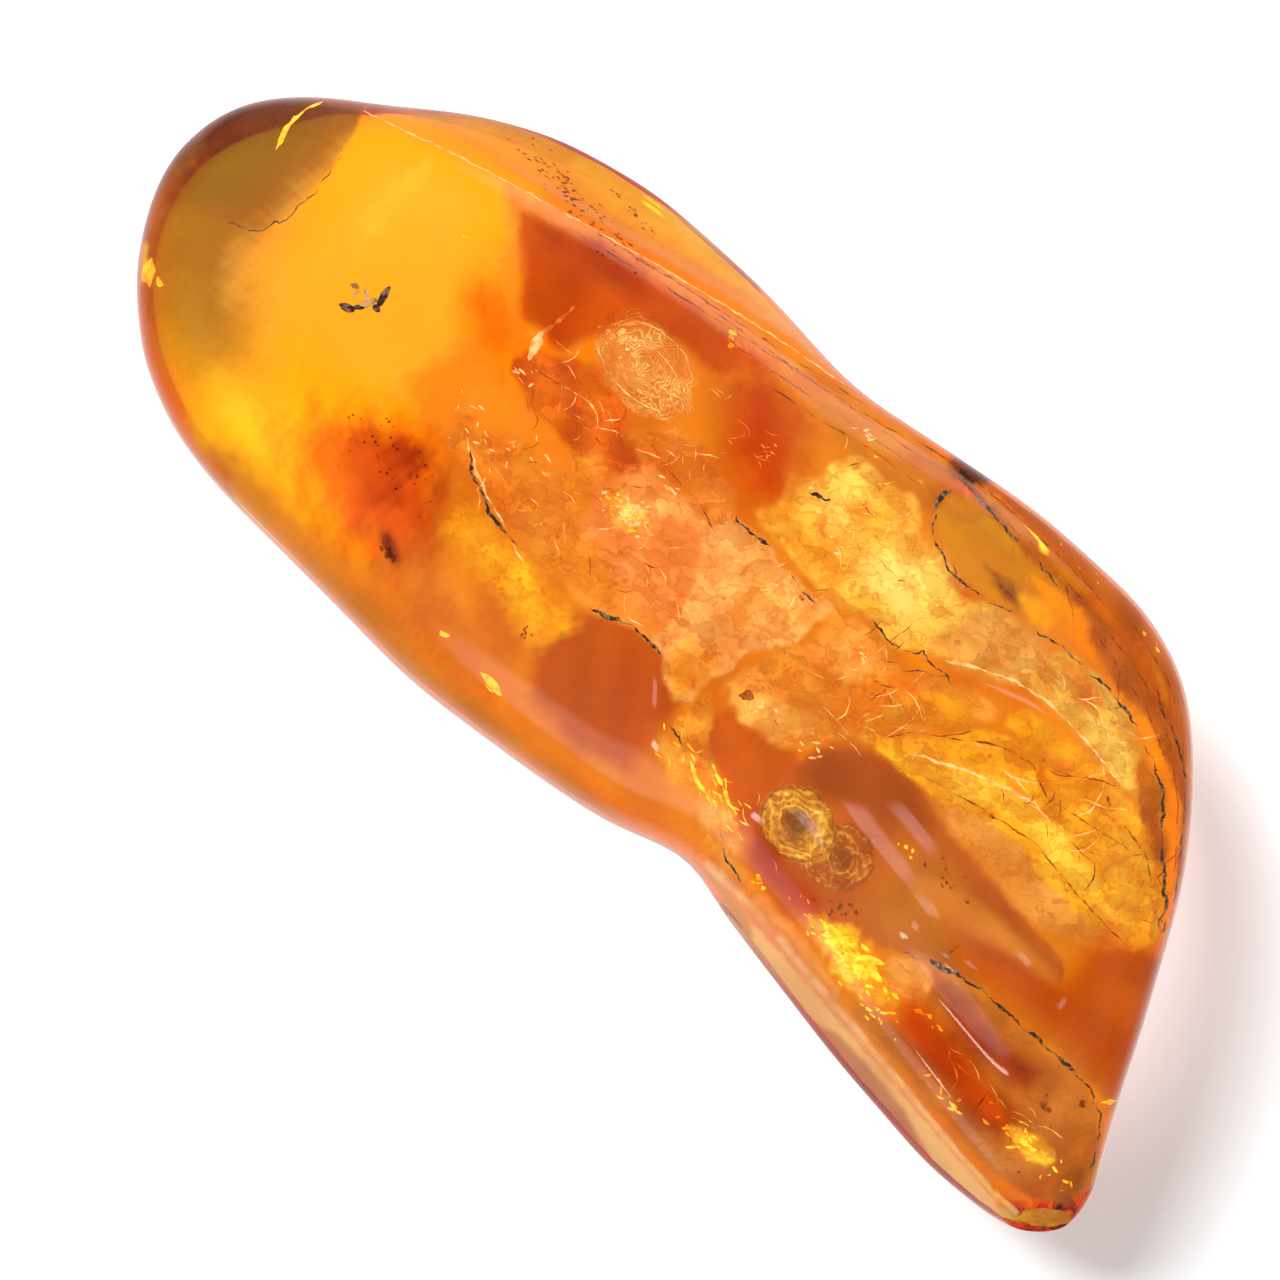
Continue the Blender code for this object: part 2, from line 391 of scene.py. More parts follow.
# Each zone: its outline, x and y in mm; the softness of its edge and its raggedness in mm; the light
# that passes, dark and light, as 0 to 255 of red, green and blue; the grain of its mottling in mm; and
# the skin that takes it, because on both skins it would show twice: 1 for the top, 0 for the underside.
# Where zones overlap, the later one hides the earlier.
ZONES = {
    "honey": (((-20.5, -5.8), (-12.0, -6.4), (-8.0, -6.4), (-8.0, 6.0), (-14.0, 4.4), (-20.5, 2.2)),
        1.6, 0.3, (255, 208, 190), (255, 220, 200), 3.0, 0),
    "yellow_glow": (((-18.5, -11.5), (-12.0, -11.5), (-13.2, -8.6), (-15.2, -7.2), (-16.8, -7.4)),
        1.6, 0.3, (255, 250, 215), (255, 255, 220), 1.5, 0),
    "warm_middle": (((-11.6, -6.8), (0.0, -6.2), (6.0, -5.6), (24.0, -5.6), (21.0, 2.0), (16.0, 7.4),
        (8.0, 9.6), (0.0, 8.4), (-8.0, 5.6), (-14.8, 4.0), (-13.2, 0.5), (-12.0, -4.0)),
        1.3, 0.5, (228, 160, 116), (240, 184, 138), 2.0, 0),
    "rims": (((-26.0, -12.0), (26.0, -12.0), (26.0, 12.0), (-26.0, 12.0), (-26.0, 0.0), (-22.0, 1.2),
        (-16.0, 4.2), (-9.0, 6.5), (-1.0, 9.0), (9.0, 9.6), (14.5, 8.4), (19.0, 4.2), (23.0, -2.0),
        (24.0, -6.2), (8.0, -6.3), (4.8, -6.8), (0.0, -8.2), (-12.0, -9.6), (-19.0, -9.0), (-23.0, -6.4),
        (-24.4, -3.5), (-23.0, -0.4), (-26.0, -0.2)), 0.5, 0.1, (248, 226, 180), (255, 238, 200), 1.5, 1),
    "red_wedge": (((-15.0, 3.5), (-13.0, 2.0), (-12.1, 1.0), (-11.3, 1.3), (-10.4, 1.2), (-9.9, 2.6),
        (-9.0, 4.4), (-5.8, 5.0), (-5.2, 6.6), (-9.0, 5.8), (-12.5, 4.8)),
        0.22, 0.12, (214, 160, 92), (230, 178, 116), 1.4, 1),
    "wedge_streak": (((-14.2, 3.5), (-12.0, 3.6), (-9.6, 4.6), (-9.0, 5.4), (-11.4, 4.9), (-13.4, 4.2)),
        0.35, 0.15, (196, 130, 64), (214, 150, 84), 0.9, 1),
    "ember": (((-13.9, 0.9), (-12.6, 0.7), (-11.6, 0.0), (-11.4, -0.6), (-12.8, -0.6), (-13.8, 0.0)),
        1.1, 0.35, (236, 170, 68), (248, 190, 92), 0.8, 1),
    "red_cloud": (((-14.2, -7.6), (-13.8, -6.2), (-12.8, -5.1), (-11.2, -4.4), (-9.7, -4.6), (-8.4, -5.6),
        (-8.0, -7.6), (-10.6, -8.6), (-13.0, -8.5)), 1.3, 0.7, (196, 136, 44), (236, 176, 66), 0.5, 1),
    "cloud_core": (((-12.9, -6.3), (-12.4, -5.3), (-11.2, -4.8), (-10.2, -5.1), (-9.9, -6.2),
        (-11.2, -6.9)), 0.6, 0.7, (160, 92, 24), (206, 138, 50), 0.4, 1),
    "red_slant": (((-5.4, 6.3), (-4.0, 6.0), (-2.8, 5.9), (-2.1, 5.2), (-1.6, 4.5), (-1.2, 3.6),
        (-2.2, 3.1), (-3.7, 3.4), (-4.6, 4.4), (-5.2, 5.2)),
        0.9, 0.5, (228, 170, 100), (246, 196, 136), 0.8, 1),
    "end_skin": (((-26.0, -8.0), (-24.2, -6.2), (-24.1, -3.4), (-24.3, -1.2), (-23.3, 0.6), (-24.5, 2.0),
        (-26.0, 0.0)), 0.5, 0.1, (196, 194, 130), (206, 204, 140), 1.5, 1),
    "window_foot": (((6.3, -4.0), (7.0, -4.4), (8.6, -4.6), (10.0, -4.4), (10.6, -4.9), (9.8, -5.5),
        (7.4, -5.4)), 0.4, 0.1, (206, 130, 60), (220, 146, 80), 0.9, 1),
    "trough": (((11.0, 1.0), (14.5, 1.0), (18.0, 1.1), (18.6, -0.4), (17.4, -1.6), (14.0, -2.4),
        (11.4, -2.8)), 0.5, 0.2, (206, 160, 110), (220, 176, 130), 1.5, 0),
    "clear_end": (((17.2, 2.2), (18.6, 3.2), (20.0, 4.2), (24.2, -1.8), (21.8, -1.2), (20.6, -1.1),
        (18.4, -1.4), (15.4, -2.0), (14.4, -1.8), (16.8, -0.6), (18.0, 0.2), (17.8, 1.2)),
        0.6, 0.12, (236, 192, 116), (244, 204, 136), 1.5, 1),
    "dark_spot": (((1.3, 9.1), (1.7, 9.7), (2.3, 10.0), (3.0, 10.2), (3.0, 9.3), (2.4, 9.0), (1.7, 8.95)),
        0.22, 0.12, (110, 92, 70), (160, 130, 96), 0.5, 1),
    "bark_stain": (((-9.7, -7.5), (-9.2, -7.3), (-8.5, -7.6), (-8.2, -7.95), (-8.7, -8.05), (-9.3, -7.9)),
        0.16, 0.1, (110, 76, 40), (150, 104, 60), 0.5, 1),
    "leaf_red": (((14.8, -4.2), (17.0, -4.0), (20.6, -4.2), (20.8, -5.3), (18.0, -5.5), (15.2, -5.5)),
        0.5, 0.12, (216, 140, 40), (230, 156, 50), 0.9, 1),
    "tip_skin": (((23.0, -4.2), (24.0, -3.0), (25.6, -3.0), (25.6, -8.0), (23.4, -7.6), (23.0, -6.6),
        (24.0, -5.4)), 0.4, 0.1, (222, 214, 190), (230, 222, 200), 1.5, 1),
    "leaf_streak": (((14.6, -3.1), (17.0, -3.0), (19.8, -2.6), (20.2, -3.4), (17.0, -3.9)),
        0.4, 0.08, (210, 136, 40), (224, 152, 50), 0.7, 1),
}
# The top skin takes its paint from UNDER_HEIGHT plus UNDER_FADE up, in mm.
UNDER_HEIGHT, UNDER_FADE = 3.4, 1.0


# %% Body material and mesh
def clear_amber():
    """Polished skin that refracts, painted zones that tint, and an absorbing inside."""
    material, tree, shader = new_material("clear_amber")
    painted = add_node(tree, "Attribute", {"attribute_name": "paint"}).outputs["Color"]
    tree.links.new(painted, shader.inputs["Base Color"])
    shader.inputs["Transmission Weight"].default_value = 1.0
    shader.inputs["Roughness"].default_value = 0.0
    shader.inputs["IOR"].default_value = AMBER_IOR
    absorb = add_node(tree, "VolumeAbsorption", Color=(*ABSORB_COLOR, 1.0), Density=ABSORB_DENSITY)
    tree.links.new(absorb.outputs["Volume"], tree.nodes["Material Output"].inputs["Volume"])
    return material


ROWS, COLUMNS = 360, 260
NEAR_POLE = 1e-4         # angle from the pole at which its point is read
ZONE_SEED = 100


def skin_paint(x, y, side):
    """Tint of one skin, the top (1) or the underside (0), from its zones.

    A Principled glass passes the square root of its colour, so the tint is squared.
    """
    own = {name: zone for name, zone in ZONES.items() if zone[-1] == side}
    return paint(own, x, y, ZONE_SEED)[0] ** 2


def clear_body():
    """The skin on a grid of angles, its two ends closed by fans at the poles.

    Its tint is the top's above UNDER_HEIGHT + UNDER_FADE and the underside's below UNDER_HEIGHT, with
    a straight blend between them.
    """
    along = np.linspace(0.0, math.pi, ROWS + 2)[1:-1]
    around = np.linspace(0.0, 2.0 * math.pi, COLUMNS, endpoint=False)
    side = skin(*np.meshgrid(along, around, indexing="ij")).reshape(-1, 3)
    blunt, tip = skin(np.array([NEAR_POLE, math.pi - NEAR_POLE]), np.array([0.0, 0.0]))
    points = np.vstack([side, blunt, tip])
    ring = np.arange(COLUMNS)
    after = (ring + 1) % COLUMNS
    last = (ROWS - 1) * COLUMNS
    blunt_fan = np.stack([np.full(COLUMNS, ROWS * COLUMNS), after, ring], -1)
    tip_fan = np.stack([np.full(COLUMNS, ROWS * COLUMNS + 1), last + ring, last + after], -1)
    quads = grid_faces(ROWS, COLUMNS, True).reshape(-1, 4)
    faces = quads.tolist() + blunt_fan.tolist() + tip_fan.tolist()
    piece = make_mesh("amber_body", points, faces, clear_amber())
    x, y, z = points.T
    share = np.clip((z - UNDER_HEIGHT) / UNDER_FADE, 0.0, 1.0)[:, None]
    tint = skin_paint(x, y, 1) * share + skin_paint(x, y, 0) * (1.0 - share)
    keep_paint(piece, tint, np.ones(len(x)))
    return piece


body = clear_body()
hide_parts("amber_pebble")
print("body faces:", len(body.data.polygons), "zones:", len(ZONES))

# %% [markdown]
# ## The flow layer
#
# Resin ran over resin that had already set, and the old surface stayed inside as a thin cloudy layer,
# a millimetre or so below the polish. It is peach, pale yellow or rusty where tiny bubbles fill it,
# smooth and deep red or brown elsewhere, and open at the clear end. Some of its regions are painted
# light instead: reflections along both crests, in the trough and over the red window, a paler band on
# the far slope, and a glint and a pinkish-brown band at the rim of the blunt end. One fine sheet carries
# all of it: a real surface under the skin shifts against the reflections when the view moves, which
# paint on the skin would not. Its covered parts stand higher in the mesh, and the finish adds the flakes.

# %% Regions of the flow
# Each region: its outline, x and y in mm; the softness of its edge and its raggedness in mm; its colour,
# dark and light, as 0 to 255 of red, green and blue; the grain of its mottling in mm; and its cover, how
# much of the light it stops. Up to a cover of 0.8 the layer is smooth, and from 0.92 on it is flaky.
# Where regions overlap, the later one hides the earlier.
FLOWS = {
    "end_olive": (((-24.4, -5.6), (-23.0, -4.6), (-20.6, -4.6), (-18.4, -5.0), (-17.0, -6.8),
        (-17.6, -9.0), (-19.5, -10.0), (-21.5, -8.8), (-23.6, -6.8)),
        2.0, 0.3, (170, 106, 8), (190, 124, 12), 2.5, 0.77),
    "end_fade": (((-24.6, -3.0), (-19.9, -3.2), (-18.2, -4.8), (-18.4, -7.4), (-22.0, -8.0),
        (-24.2, -6.0)), 1.8, 0.3, (128, 68, 6), (146, 82, 10), 2.5, 0.78),
    "end_yellow": (((-17.8, -8.6), (-16.2, -7.4), (-14.2, -8.0), (-13.4, -10.4), (-16.8, -10.8)),
        0.9, 0.3, (255, 196, 18), (255, 212, 30), 1.5, 0.7),
    "end_brown": (((-21.6, 2.0), (-20.8, 0.9), (-20.25, -0.6), (-20.1, -2.0), (-20.1, -3.1),
        (-20.4, -4.0), (-21.0, -4.4), (-22.2, -4.9), (-24.2, -6.0), (-26.0, -4.0), (-26.0, 2.0),
        (-24.0, 3.5)), 0.14, 0.05, (128, 60, 12), (148, 74, 16), 2.5, 0.8),
    "end_core": (((-21.4, 0.6), (-20.9, -1.6), (-21.2, -3.6), (-22.6, -5.0), (-24.6, -5.6), (-26.0, -3.0),
        (-24.6, 1.2), (-22.6, 1.8)), 0.9, 0.15, (92, 40, 8), (112, 52, 12), 2.0, 0.8),
    # Painted light: the pinkish-brown band along the rim at the blunt end, where the rim bends light and
    # throws it back inside the resin.
    "end_rim_refraction": (((-24.8, -3.0), (-24.0, -3.4), (-23.7, -5.4), (-22.6, -7.0), (-20.9, -8.7), (-18.6, -9.9),
        (-16.0, -10.5), (-16.0, -11.4), (-20.6, -11.0), (-24.8, -7.6)),
        0.35, 0.1, (182, 106, 34), (198, 124, 60), 1.5, 0.75),
    # A painted glint: the bright yellow spot where the lower rim at the blunt end catches the light.
    "rim_glint": (((-23.1, -7.2), (-22.7, -6.9), (-22.0, -7.7), (-21.7, -8.3), (-22.0, -8.7),
        (-22.6, -8.1)), 0.15, 0.12, (252, 196, 10), (255, 222, 40), 0.4, 0.9),
    "back_slope": (((-23.6, 0.9), (-21.3, 2.2), (-16.0, 4.4), (-9.0, 6.8), (-1.0, 9.2), (-1.0, 11.0),
        (-26.0, 11.0)), 0.3, 0.1, (236, 158, 46), (252, 186, 64), 1.1, 0.76),
    # A paler band on the slope beyond the far crest: a painted reflection of the light that this slope
    # throws back.
    "slope_reflection": (((-15.2, 5.6), (-12.0, 6.4), (-8.0, 7.3), (-3.0, 8.2), (-3.0, 9.4), (-15.6, 8.0)),
        0.5, 0.25, (252, 186, 54), (255, 206, 84), 1.0, 0.76),
    # A painted reflection: the pinkish band that the polish mirrors along the far crest.
    "crest_reflection": (((-17.0, 3.75), (-12.5, 5.2), (-9.0, 6.4), (-5.0, 7.65), (-1.0, 8.85), (-1.2, 9.3),
        (-5.2, 8.2), (-9.2, 6.95), (-12.6, 5.6), (-17.0, 4.1)),
        0.22, 0.06, (232, 160, 112), (246, 186, 146), 1.2, 0.78),
    "near_side": (((-16.0, -9.6), (-12.0, -9.0), (-6.0, -8.5), (0.0, -7.8), (3.4, -7.2), (5.0, -7.4),
        (4.0, -9.0), (0.0, -10.2), (-10.0, -11.6), (-16.0, -11.4)),
        0.7, 0.3, (186, 118, 30), (208, 138, 42), 1.4, 0.79),
    "lower_warm": (((-9.0, -6.4), (-3.0, -5.8), (2.2, -5.2), (6.2, -5.8), (5.2, -6.9), (0.4, -7.9),
        (-6.0, -8.7), (-9.0, -8.8)), 0.7, 0.3, (206, 104, 26), (228, 132, 40), 1.2, 0.7),
    "lower_stain": (((-7.6, -7.6), (-6.0, -7.2), (-3.6, -7.4), (-2.8, -8.2), (-4.4, -8.9), (-7.0, -8.9)),
        0.6, 0.4, (184, 78, 14), (208, 104, 26), 0.8, 0.74),
    "wall": (((6.6, -6.55), (12.0, -6.5), (24.2, -6.55), (24.6, -9.0), (5.8, -9.0)),
        0.12, 0.05, (230, 184, 116), (246, 206, 148), 1.4, 0.79),
    "wall_wedge": (((11.6, -8.2), (14.2, -7.0), (16.0, -6.8), (18.2, -6.95), (21.0, -7.6), (20.6, -9.0),
        (12.0, -9.0)), 0.12, 0.06, (184, 112, 40), (202, 132, 58), 1.0, 0.79),
    "wall_corner": (((6.0, -6.7), (7.8, -6.5), (9.4, -6.6), (10.0, -7.1), (9.0, -7.8), (7.0, -8.2)),
        0.12, 0.06, (200, 140, 24), (220, 160, 40), 1.0, 0.75),
    # A painted reflection: the thin pale band that the polish mirrors along the near crest.
    "front_crest_reflection": (((6.4, -6.15), (9.0, -6.0), (14.0, -6.1), (23.6, -6.3), (23.6, -6.55), (14.0, -6.42),
        (9.0, -6.35), (6.4, -6.6)), 0.1, 0.03, (246, 196, 144), (255, 220, 180), 1.0, 0.8),
    "far_rim": (((2.0, 9.2), (9.6, 9.7), (12.4, 9.5), (15.4, 8.1), (19.0, 4.9), (22.5, 0.3), (26.0, -3.0),
        (24.0, 8.0), (14.0, 12.5), (2.6, 12.0)), 0.3, 0.15, (164, 78, 10), (198, 110, 34), 0.9, 0.79),
    "milk": (((-19.6, -5.2), (-16.0, -5.8), (-12.4, -4.8), (-12.2, 0.0), (-14.0, 2.4), (-17.0, 3.0),
        (-19.8, 0.8)), 1.6, 0.4, (255, 196, 110), (255, 208, 130), 2.0, 0.2),
    "pale_veins": (((-18.4, 2.4), (-17.9, 2.0), (-17.7, 0.2), (-17.5, -1.4), (-18.1, -1.0), (-18.4, 0.6)),
        0.3, 0.3, (255, 206, 60), (255, 220, 100), 0.2, 0.34),
    "orange_edge": (((-14.6, 4.2), (-13.6, 2.6), (-12.2, 1.7), (-11.4, 0.6), (-11.0, 1.2), (-11.6, 1.9),
        (-13.2, 3.0), (-14.2, 4.4)), 0.2, 0.15, (252, 160, 24), (255, 184, 44), 0.8, 0.6),
    "haze": (((-10.5, -4.6), (-10.0, -3.4), (-11.5, -3.0), (-11.6, -0.8), (-9.6, -0.7), (-9.6, 4.6),
        (-4.0, 6.4), (0.0, 8.2), (3.0, 8.6), (9.0, 8.4), (13.6, 8.0), (16.0, 6.2), (18.8, 3.8),
        (18.2, 1.6), (23.2, -2.6), (24.0, -5.0), (22.0, -6.0), (8.0, -6.0), (4.0, -6.4), (0.0, -7.4),
        (-4.0, -7.4), (-8.0, -6.4)), 0.7, 0.5, (192, 88, 6), (226, 130, 22), 1.3, 0.72),
    "crest_band": (((-9.0, 5.2), (-5.6, 6.4), (-2.6, 6.3), (-0.9, 6.9), (1.8, 7.6), (2.4, 8.7),
        (0.0, 8.7), (-4.0, 7.6), (-9.0, 6.2)), 0.35, 0.2, (208, 104, 14), (236, 144, 34), 0.9, 0.75),
    "red_window": (((-3.4, -5.6), (-3.0, -4.2), (-2.4, -3.4), (-0.4, -2.6), (0.8, -3.2), (1.7, -3.3),
        (1.95, -4.2), (1.75, -4.8), (2.4, -6.4), (0.4, -7.2), (-2.0, -7.2)),
        0.45, 0.15, (150, 34, 2), (180, 56, 8), 0.9, 0.79),
    "red_bay": (((2.6, -3.2), (3.0, -2.4), (4.2, -1.9), (5.6, -1.6), (6.3, -2.0), (6.6, -3.4),
        (6.8, -4.8), (5.2, -4.4), (3.4, -4.0)), 0.2, 0.08, (164, 48, 6), (194, 72, 14), 0.9, 0.79),
    "mid_lower": (((-3.6, -2.0), (-0.4, -2.2), (0.6, -2.9), (-0.1, -2.95), (-0.7, -3.0), (-1.4, -3.1),
        (-2.0, -3.4), (-2.6, -3.75), (-3.2, -3.9), (-4.2, -3.9)),
        0.08, 0.06, (226, 124, 44), (244, 150, 66), 0.8, 0.85),
    "smooth": (((-13.4, -3.4), (-12.6, -1.0), (-9.0, -0.75), (-6.6, -1.0), (-5.8, -2.4), (-8.0, -3.3),
        (-11.0, -3.9)), 0.6, 0.25, (244, 124, 26), (254, 148, 54), 1.8, 0.55),
    "scales": (((-11.2, -1.6), (-10.2, -2.6), (-8.4, -1.6), (-6.2, -1.2), (-5.4, -2.2), (-3.6, -2.0),
        (-2.0, -3.2), (-3.2, -3.8), (-5.5, -4.1), (-7.4, -4.1), (-9.0, -3.6), (-10.6, -3.8)),
        0.3, 0.3, (212, 108, 22), (238, 148, 46), 0.6, 0.92),
    "swoosh": (((-14.3, 1.8), (-13.3, 2.2), (-12.4, 1.5), (-11.7, 0.9), (-11.3, 0.2), (-11.5, -0.1),
        (-12.1, 0.6), (-12.9, 1.2), (-13.6, 1.4)), 0.2, 0.12, (246, 142, 16), (255, 168, 34), 0.8, 0.75),
    "ember_mid": (((-11.2, 0.5), (-10.2, 1.1), (-9.0, 1.8), (-7.0, 1.7), (-5.9, 1.1), (-5.0, 0.6),
        (-5.8, -0.1), (-6.8, -0.7), (-9.0, -0.75), (-11.0, -0.5)),
        0.14, 0.16, (190, 66, 4), (232, 112, 18), 0.6, 0.92),
    "ember_edge": (((-6.9, 0.0), (-6.0, -0.1), (-5.7, -0.9), (-6.4, -1.3), (-7.4, -0.9)),
        0.15, 0.12, (212, 106, 20), (236, 146, 48), 0.5, 0.9),
    "over_pink": (((-6.6, 1.2), (-5.6, 2.6), (-4.4, 3.0), (-2.4, 2.5), (-1.6, 2.0), (-1.4, 0.8),
        (-3.6, 1.0), (-5.2, 0.8)), 0.3, 0.2, (208, 100, 24), (236, 144, 62), 0.7, 0.9),
    "pink": (((-6.0, -0.9), (-5.4, 0.7), (-4.4, 1.1), (-2.2, 0.9), (-0.8, 0.8), (-0.1, -0.6),
        (-0.3, -2.2), (-1.6, -2.7), (-3.4, -2.3), (-5.2, -2.2)),
        0.3, 0.18, (226, 122, 62), (246, 154, 92), 1.1, 0.9),
    "cream_patch": (((-5.35, -0.9), (-5.1, -0.2), (-4.5, 0.05), (-3.9, -0.1), (-3.7, -0.6), (-3.9, -1.15),
        (-4.6, -1.35), (-5.1, -1.2)), 0.3, 0.3, (232, 158, 74), (250, 200, 116), 0.1, 0.92),
    "pink_top": (((-5.4, 0.2), (-3.2, 1.3), (-2.0, 1.0), (-3.2, 0.3), (-4.6, -0.1)),
        0.2, 0.15, (232, 140, 74), (252, 184, 116), 0.5, 0.9),
    "peach": (((-1.9, 2.1), (-1.0, 2.3), (-0.1, 2.4), (0.3, 2.1), (0.9, 2.35), (1.7, 2.2), (2.2, 2.7),
        (3.0, 2.8), (2.7, 1.8), (2.9, 0.9), (2.3, 0.0), (1.9, -0.8), (2.1, -1.6), (1.7, -2.3),
        (2.0, -3.3), (1.2, -3.6), (0.6, -3.4), (0.1, -2.9), (-0.7, -2.9), (-0.6, -1.6), (-1.1, -0.4),
        (-2.2, 0.9)), 0.1, 0.1, (228, 144, 80), (248, 176, 112), 1.2, 0.94),
    "peach_light": (((-0.2, 1.9), (1.8, 1.9), (2.5, 1.4), (2.2, 0.3), (1.0, -0.5), (-0.2, 0.2)),
        0.6, 0.2, (246, 166, 88), (254, 186, 112), 1.0, 0.95),
    "peach_foot": (((0.1, -1.8), (1.4, -1.6), (1.8, -2.6), (1.4, -3.5), (0.5, -3.3), (0.1, -2.6)),
        0.25, 0.2, (232, 138, 40), (252, 176, 80), 0.6, 0.9),
    "pale": (((-1.6, 2.6), (-1.2, 3.6), (-1.8, 4.3), (-1.1, 5.0), (-1.0, 6.0), (-0.4, 6.8), (0.8, 6.9),
        (1.8, 7.2), (2.3, 6.8), (2.8, 6.3), (3.5, 6.0), (5.6, 6.2), (6.4, 6.9), (8.2, 7.0), (9.3, 6.4),
        (8.6, 5.4), (7.4, 4.8), (6.3, 4.2), (5.8, 3.9), (5.3, 3.3), (3.8, 3.3), (2.6, 2.7), (0.6, 2.6)),
        0.14, 0.16, (236, 166, 54), (252, 204, 96), 1.0, 0.93),
    "pale_light": (((2.4, 6.1), (4.2, 6.2), (6.0, 5.6), (5.8, 4.6), (4.4, 4.0), (2.6, 4.0), (1.8, 5.0)),
        0.7, 0.4, (252, 208, 100), (255, 226, 134), 0.9, 0.95),
    "pale_shade": (((-1.2, 2.8), (1.0, 2.8), (2.6, 3.0), (2.2, 3.7), (0.6, 3.9), (-1.0, 3.7)),
        0.5, 0.3, (234, 150, 34), (250, 182, 62), 0.7, 0.9),
    "pale_rust": (((0.2, 5.4), (1.2, 6.0), (2.0, 7.0), (2.4, 6.4), (2.0, 5.6), (1.0, 5.1)),
        0.35, 0.3, (226, 138, 34), (246, 176, 60), 0.5, 0.9),
    "shoulder_pale": (((5.8, 4.2), (6.0, 5.6), (6.6, 6.8), (8.0, 7.3), (9.2, 7.0), (9.6, 6.2), (8.6, 5.5),
        (7.2, 4.6)), 0.35, 0.2, (204, 128, 54), (228, 166, 88), 1.0, 0.9),
    "lower_band": (((-9.4, -4.1), (-7.0, -4.4), (-5.0, -4.3), (-3.2, -4.1), (-2.4, -4.7), (-2.8, -5.6),
        (-3.6, -6.1), (-5.6, -5.9), (-7.4, -6.1), (-8.8, -5.6)),
        0.35, 0.3, (224, 124, 10), (248, 168, 26), 0.8, 0.88),
    "lower_gold": (((-6.8, -4.9), (-5.0, -4.4), (-3.6, -4.8), (-3.4, -5.4), (-5.0, -5.6), (-6.6, -5.4)),
        0.5, 0.3, (244, 156, 10), (255, 188, 30), 0.5, 0.95),
    "mottled": (((2.5, 0.0), (3.0, 1.2), (2.8, 2.7), (3.8, 3.2), (5.4, 3.2), (6.2, 3.0), (7.0, 3.8),
        (8.4, 4.6), (9.4, 4.6), (8.9, 3.6), (7.8, 2.2), (7.4, 0.9), (6.4, -0.2), (5.8, -1.0), (5.4, -1.9),
        (3.4, -2.2), (2.3, -1.6)), 0.2, 0.2, (204, 106, 22), (238, 154, 58), 0.7, 0.9),
    "mottled_pale": (((3.2, 2.7), (4.8, 2.9), (5.6, 2.2), (4.4, 1.0), (3.4, 1.0), (3.2, 1.8)),
        0.3, 0.2, (234, 142, 56), (250, 178, 92), 0.5, 0.9),
    "mottled_rust": (((5.4, 1.8), (6.0, 3.0), (7.2, 3.0), (7.2, 1.6), (6.4, 0.4), (5.4, 0.4)),
        0.3, 0.25, (212, 100, 10), (236, 136, 28), 0.5, 0.9),
    "mottled_foot": (((2.4, -1.0), (4.4, -0.6), (6.2, -0.6), (5.4, -1.7), (3.6, -2.4), (2.0, -2.0)),
        0.2, 0.2, (224, 138, 56), (248, 178, 96), 0.45, 0.9),
    "between_bays": (((1.9, -2.6), (2.8, -2.9), (3.4, -3.8), (4.6, -4.2), (4.2, -4.8), (2.6, -4.5),
        (1.9, -4.0), (2.1, -3.4)), 0.12, 0.12, (216, 122, 20), (246, 166, 60), 0.5, 0.95),
    "gold_seam": (((2.2, -4.7), (4.0, -4.2), (6.0, -4.7), (7.2, -5.2), (8.4, -5.8), (6.2, -5.9),
        (4.4, -5.4), (2.6, -5.2)), 0.3, 0.25, (220, 128, 34), (248, 174, 72), 0.5, 0.88),
    "red_slant": (((-5.4, 6.3), (-4.0, 6.0), (-2.8, 5.9), (-2.1, 5.2), (-1.6, 4.5), (-1.2, 3.6),
        (-2.2, 3.1), (-3.7, 3.4), (-4.6, 4.4), (-5.2, 5.2)),
        0.75, 0.45, (182, 66, 12), (212, 96, 24), 0.8, 0.74),
    "red_wedge": (((-16.0, 3.5), (-13.0, 1.8), (-11.3, 1.2), (-10.1, 1.2), (-9.8, 2.6), (-9.0, 4.5),
        (-5.8, 5.1), (-5.4, 6.6), (-9.0, 6.0), (-12.5, 5.0)),
        0.35, 0.15, (212, 102, 22), (236, 138, 42), 0.9, 0.74),
    "window": (((5.9, -2.4), (6.0, -1.2), (6.5, -0.3), (7.5, 0.4), (9.2, 0.95), (11.0, 0.7), (17.6, 0.7),
        (18.2, -0.6), (16.0, -2.2), (14.2, -2.6), (12.8, -3.8), (11.2, -4.3), (10.4, -5.2), (8.4, -5.4),
        (6.4, -4.4)), 0.12, 0.1, (158, 56, 34), (184, 82, 46), 1.6, 0.79),
    "window_dark": (((6.2, -2.0), (6.3, -0.6), (7.4, 0.4), (9.4, 0.8), (11.0, 0.4), (10.4, -0.8),
        (8.4, -1.4), (7.4, -2.2)), 0.5, 0.1, (116, 28, 26), (138, 42, 36), 1.2, 0.8),
    "window_foot": (((6.4, -4.2), (8.0, -4.6), (9.8, -4.4), (10.8, -4.7), (10.0, -5.5), (7.2, -5.4)),
        0.35, 0.1, (184, 72, 14), (204, 92, 22), 0.9, 0.7),
    # A painted reflection: the pink-grey veil that the polish mirrors over the red window.
    "veil": (((10.2, -0.8), (11.4, 0.0), (13.0, -0.6), (14.6, -1.6), (14.2, -2.6), (12.6, -3.6),
        (11.2, -3.4), (10.6, -2.0)), 1.0, 0.2, (164, 84, 44), (182, 102, 60), 1.4, 0.72),
    # A painted reflection: the pale finger-shaped veil that a soft box leaves in the trough.
    "finger_reflection": (((11.6, -1.5), (12.6, -0.7), (14.6, -0.2), (17.9, 0.15), (18.1, -0.25), (15.4, -0.9),
        (13.6, -1.5), (12.4, -2.0)), 0.35, 0.1, (200, 112, 58), (218, 134, 82), 1.2, 0.7),
    "clear_end": (((17.6, 1.9), (18.6, 2.8), (20.2, 3.6), (25.2, -1.8), (21.8, -1.6), (20.6, -1.5),
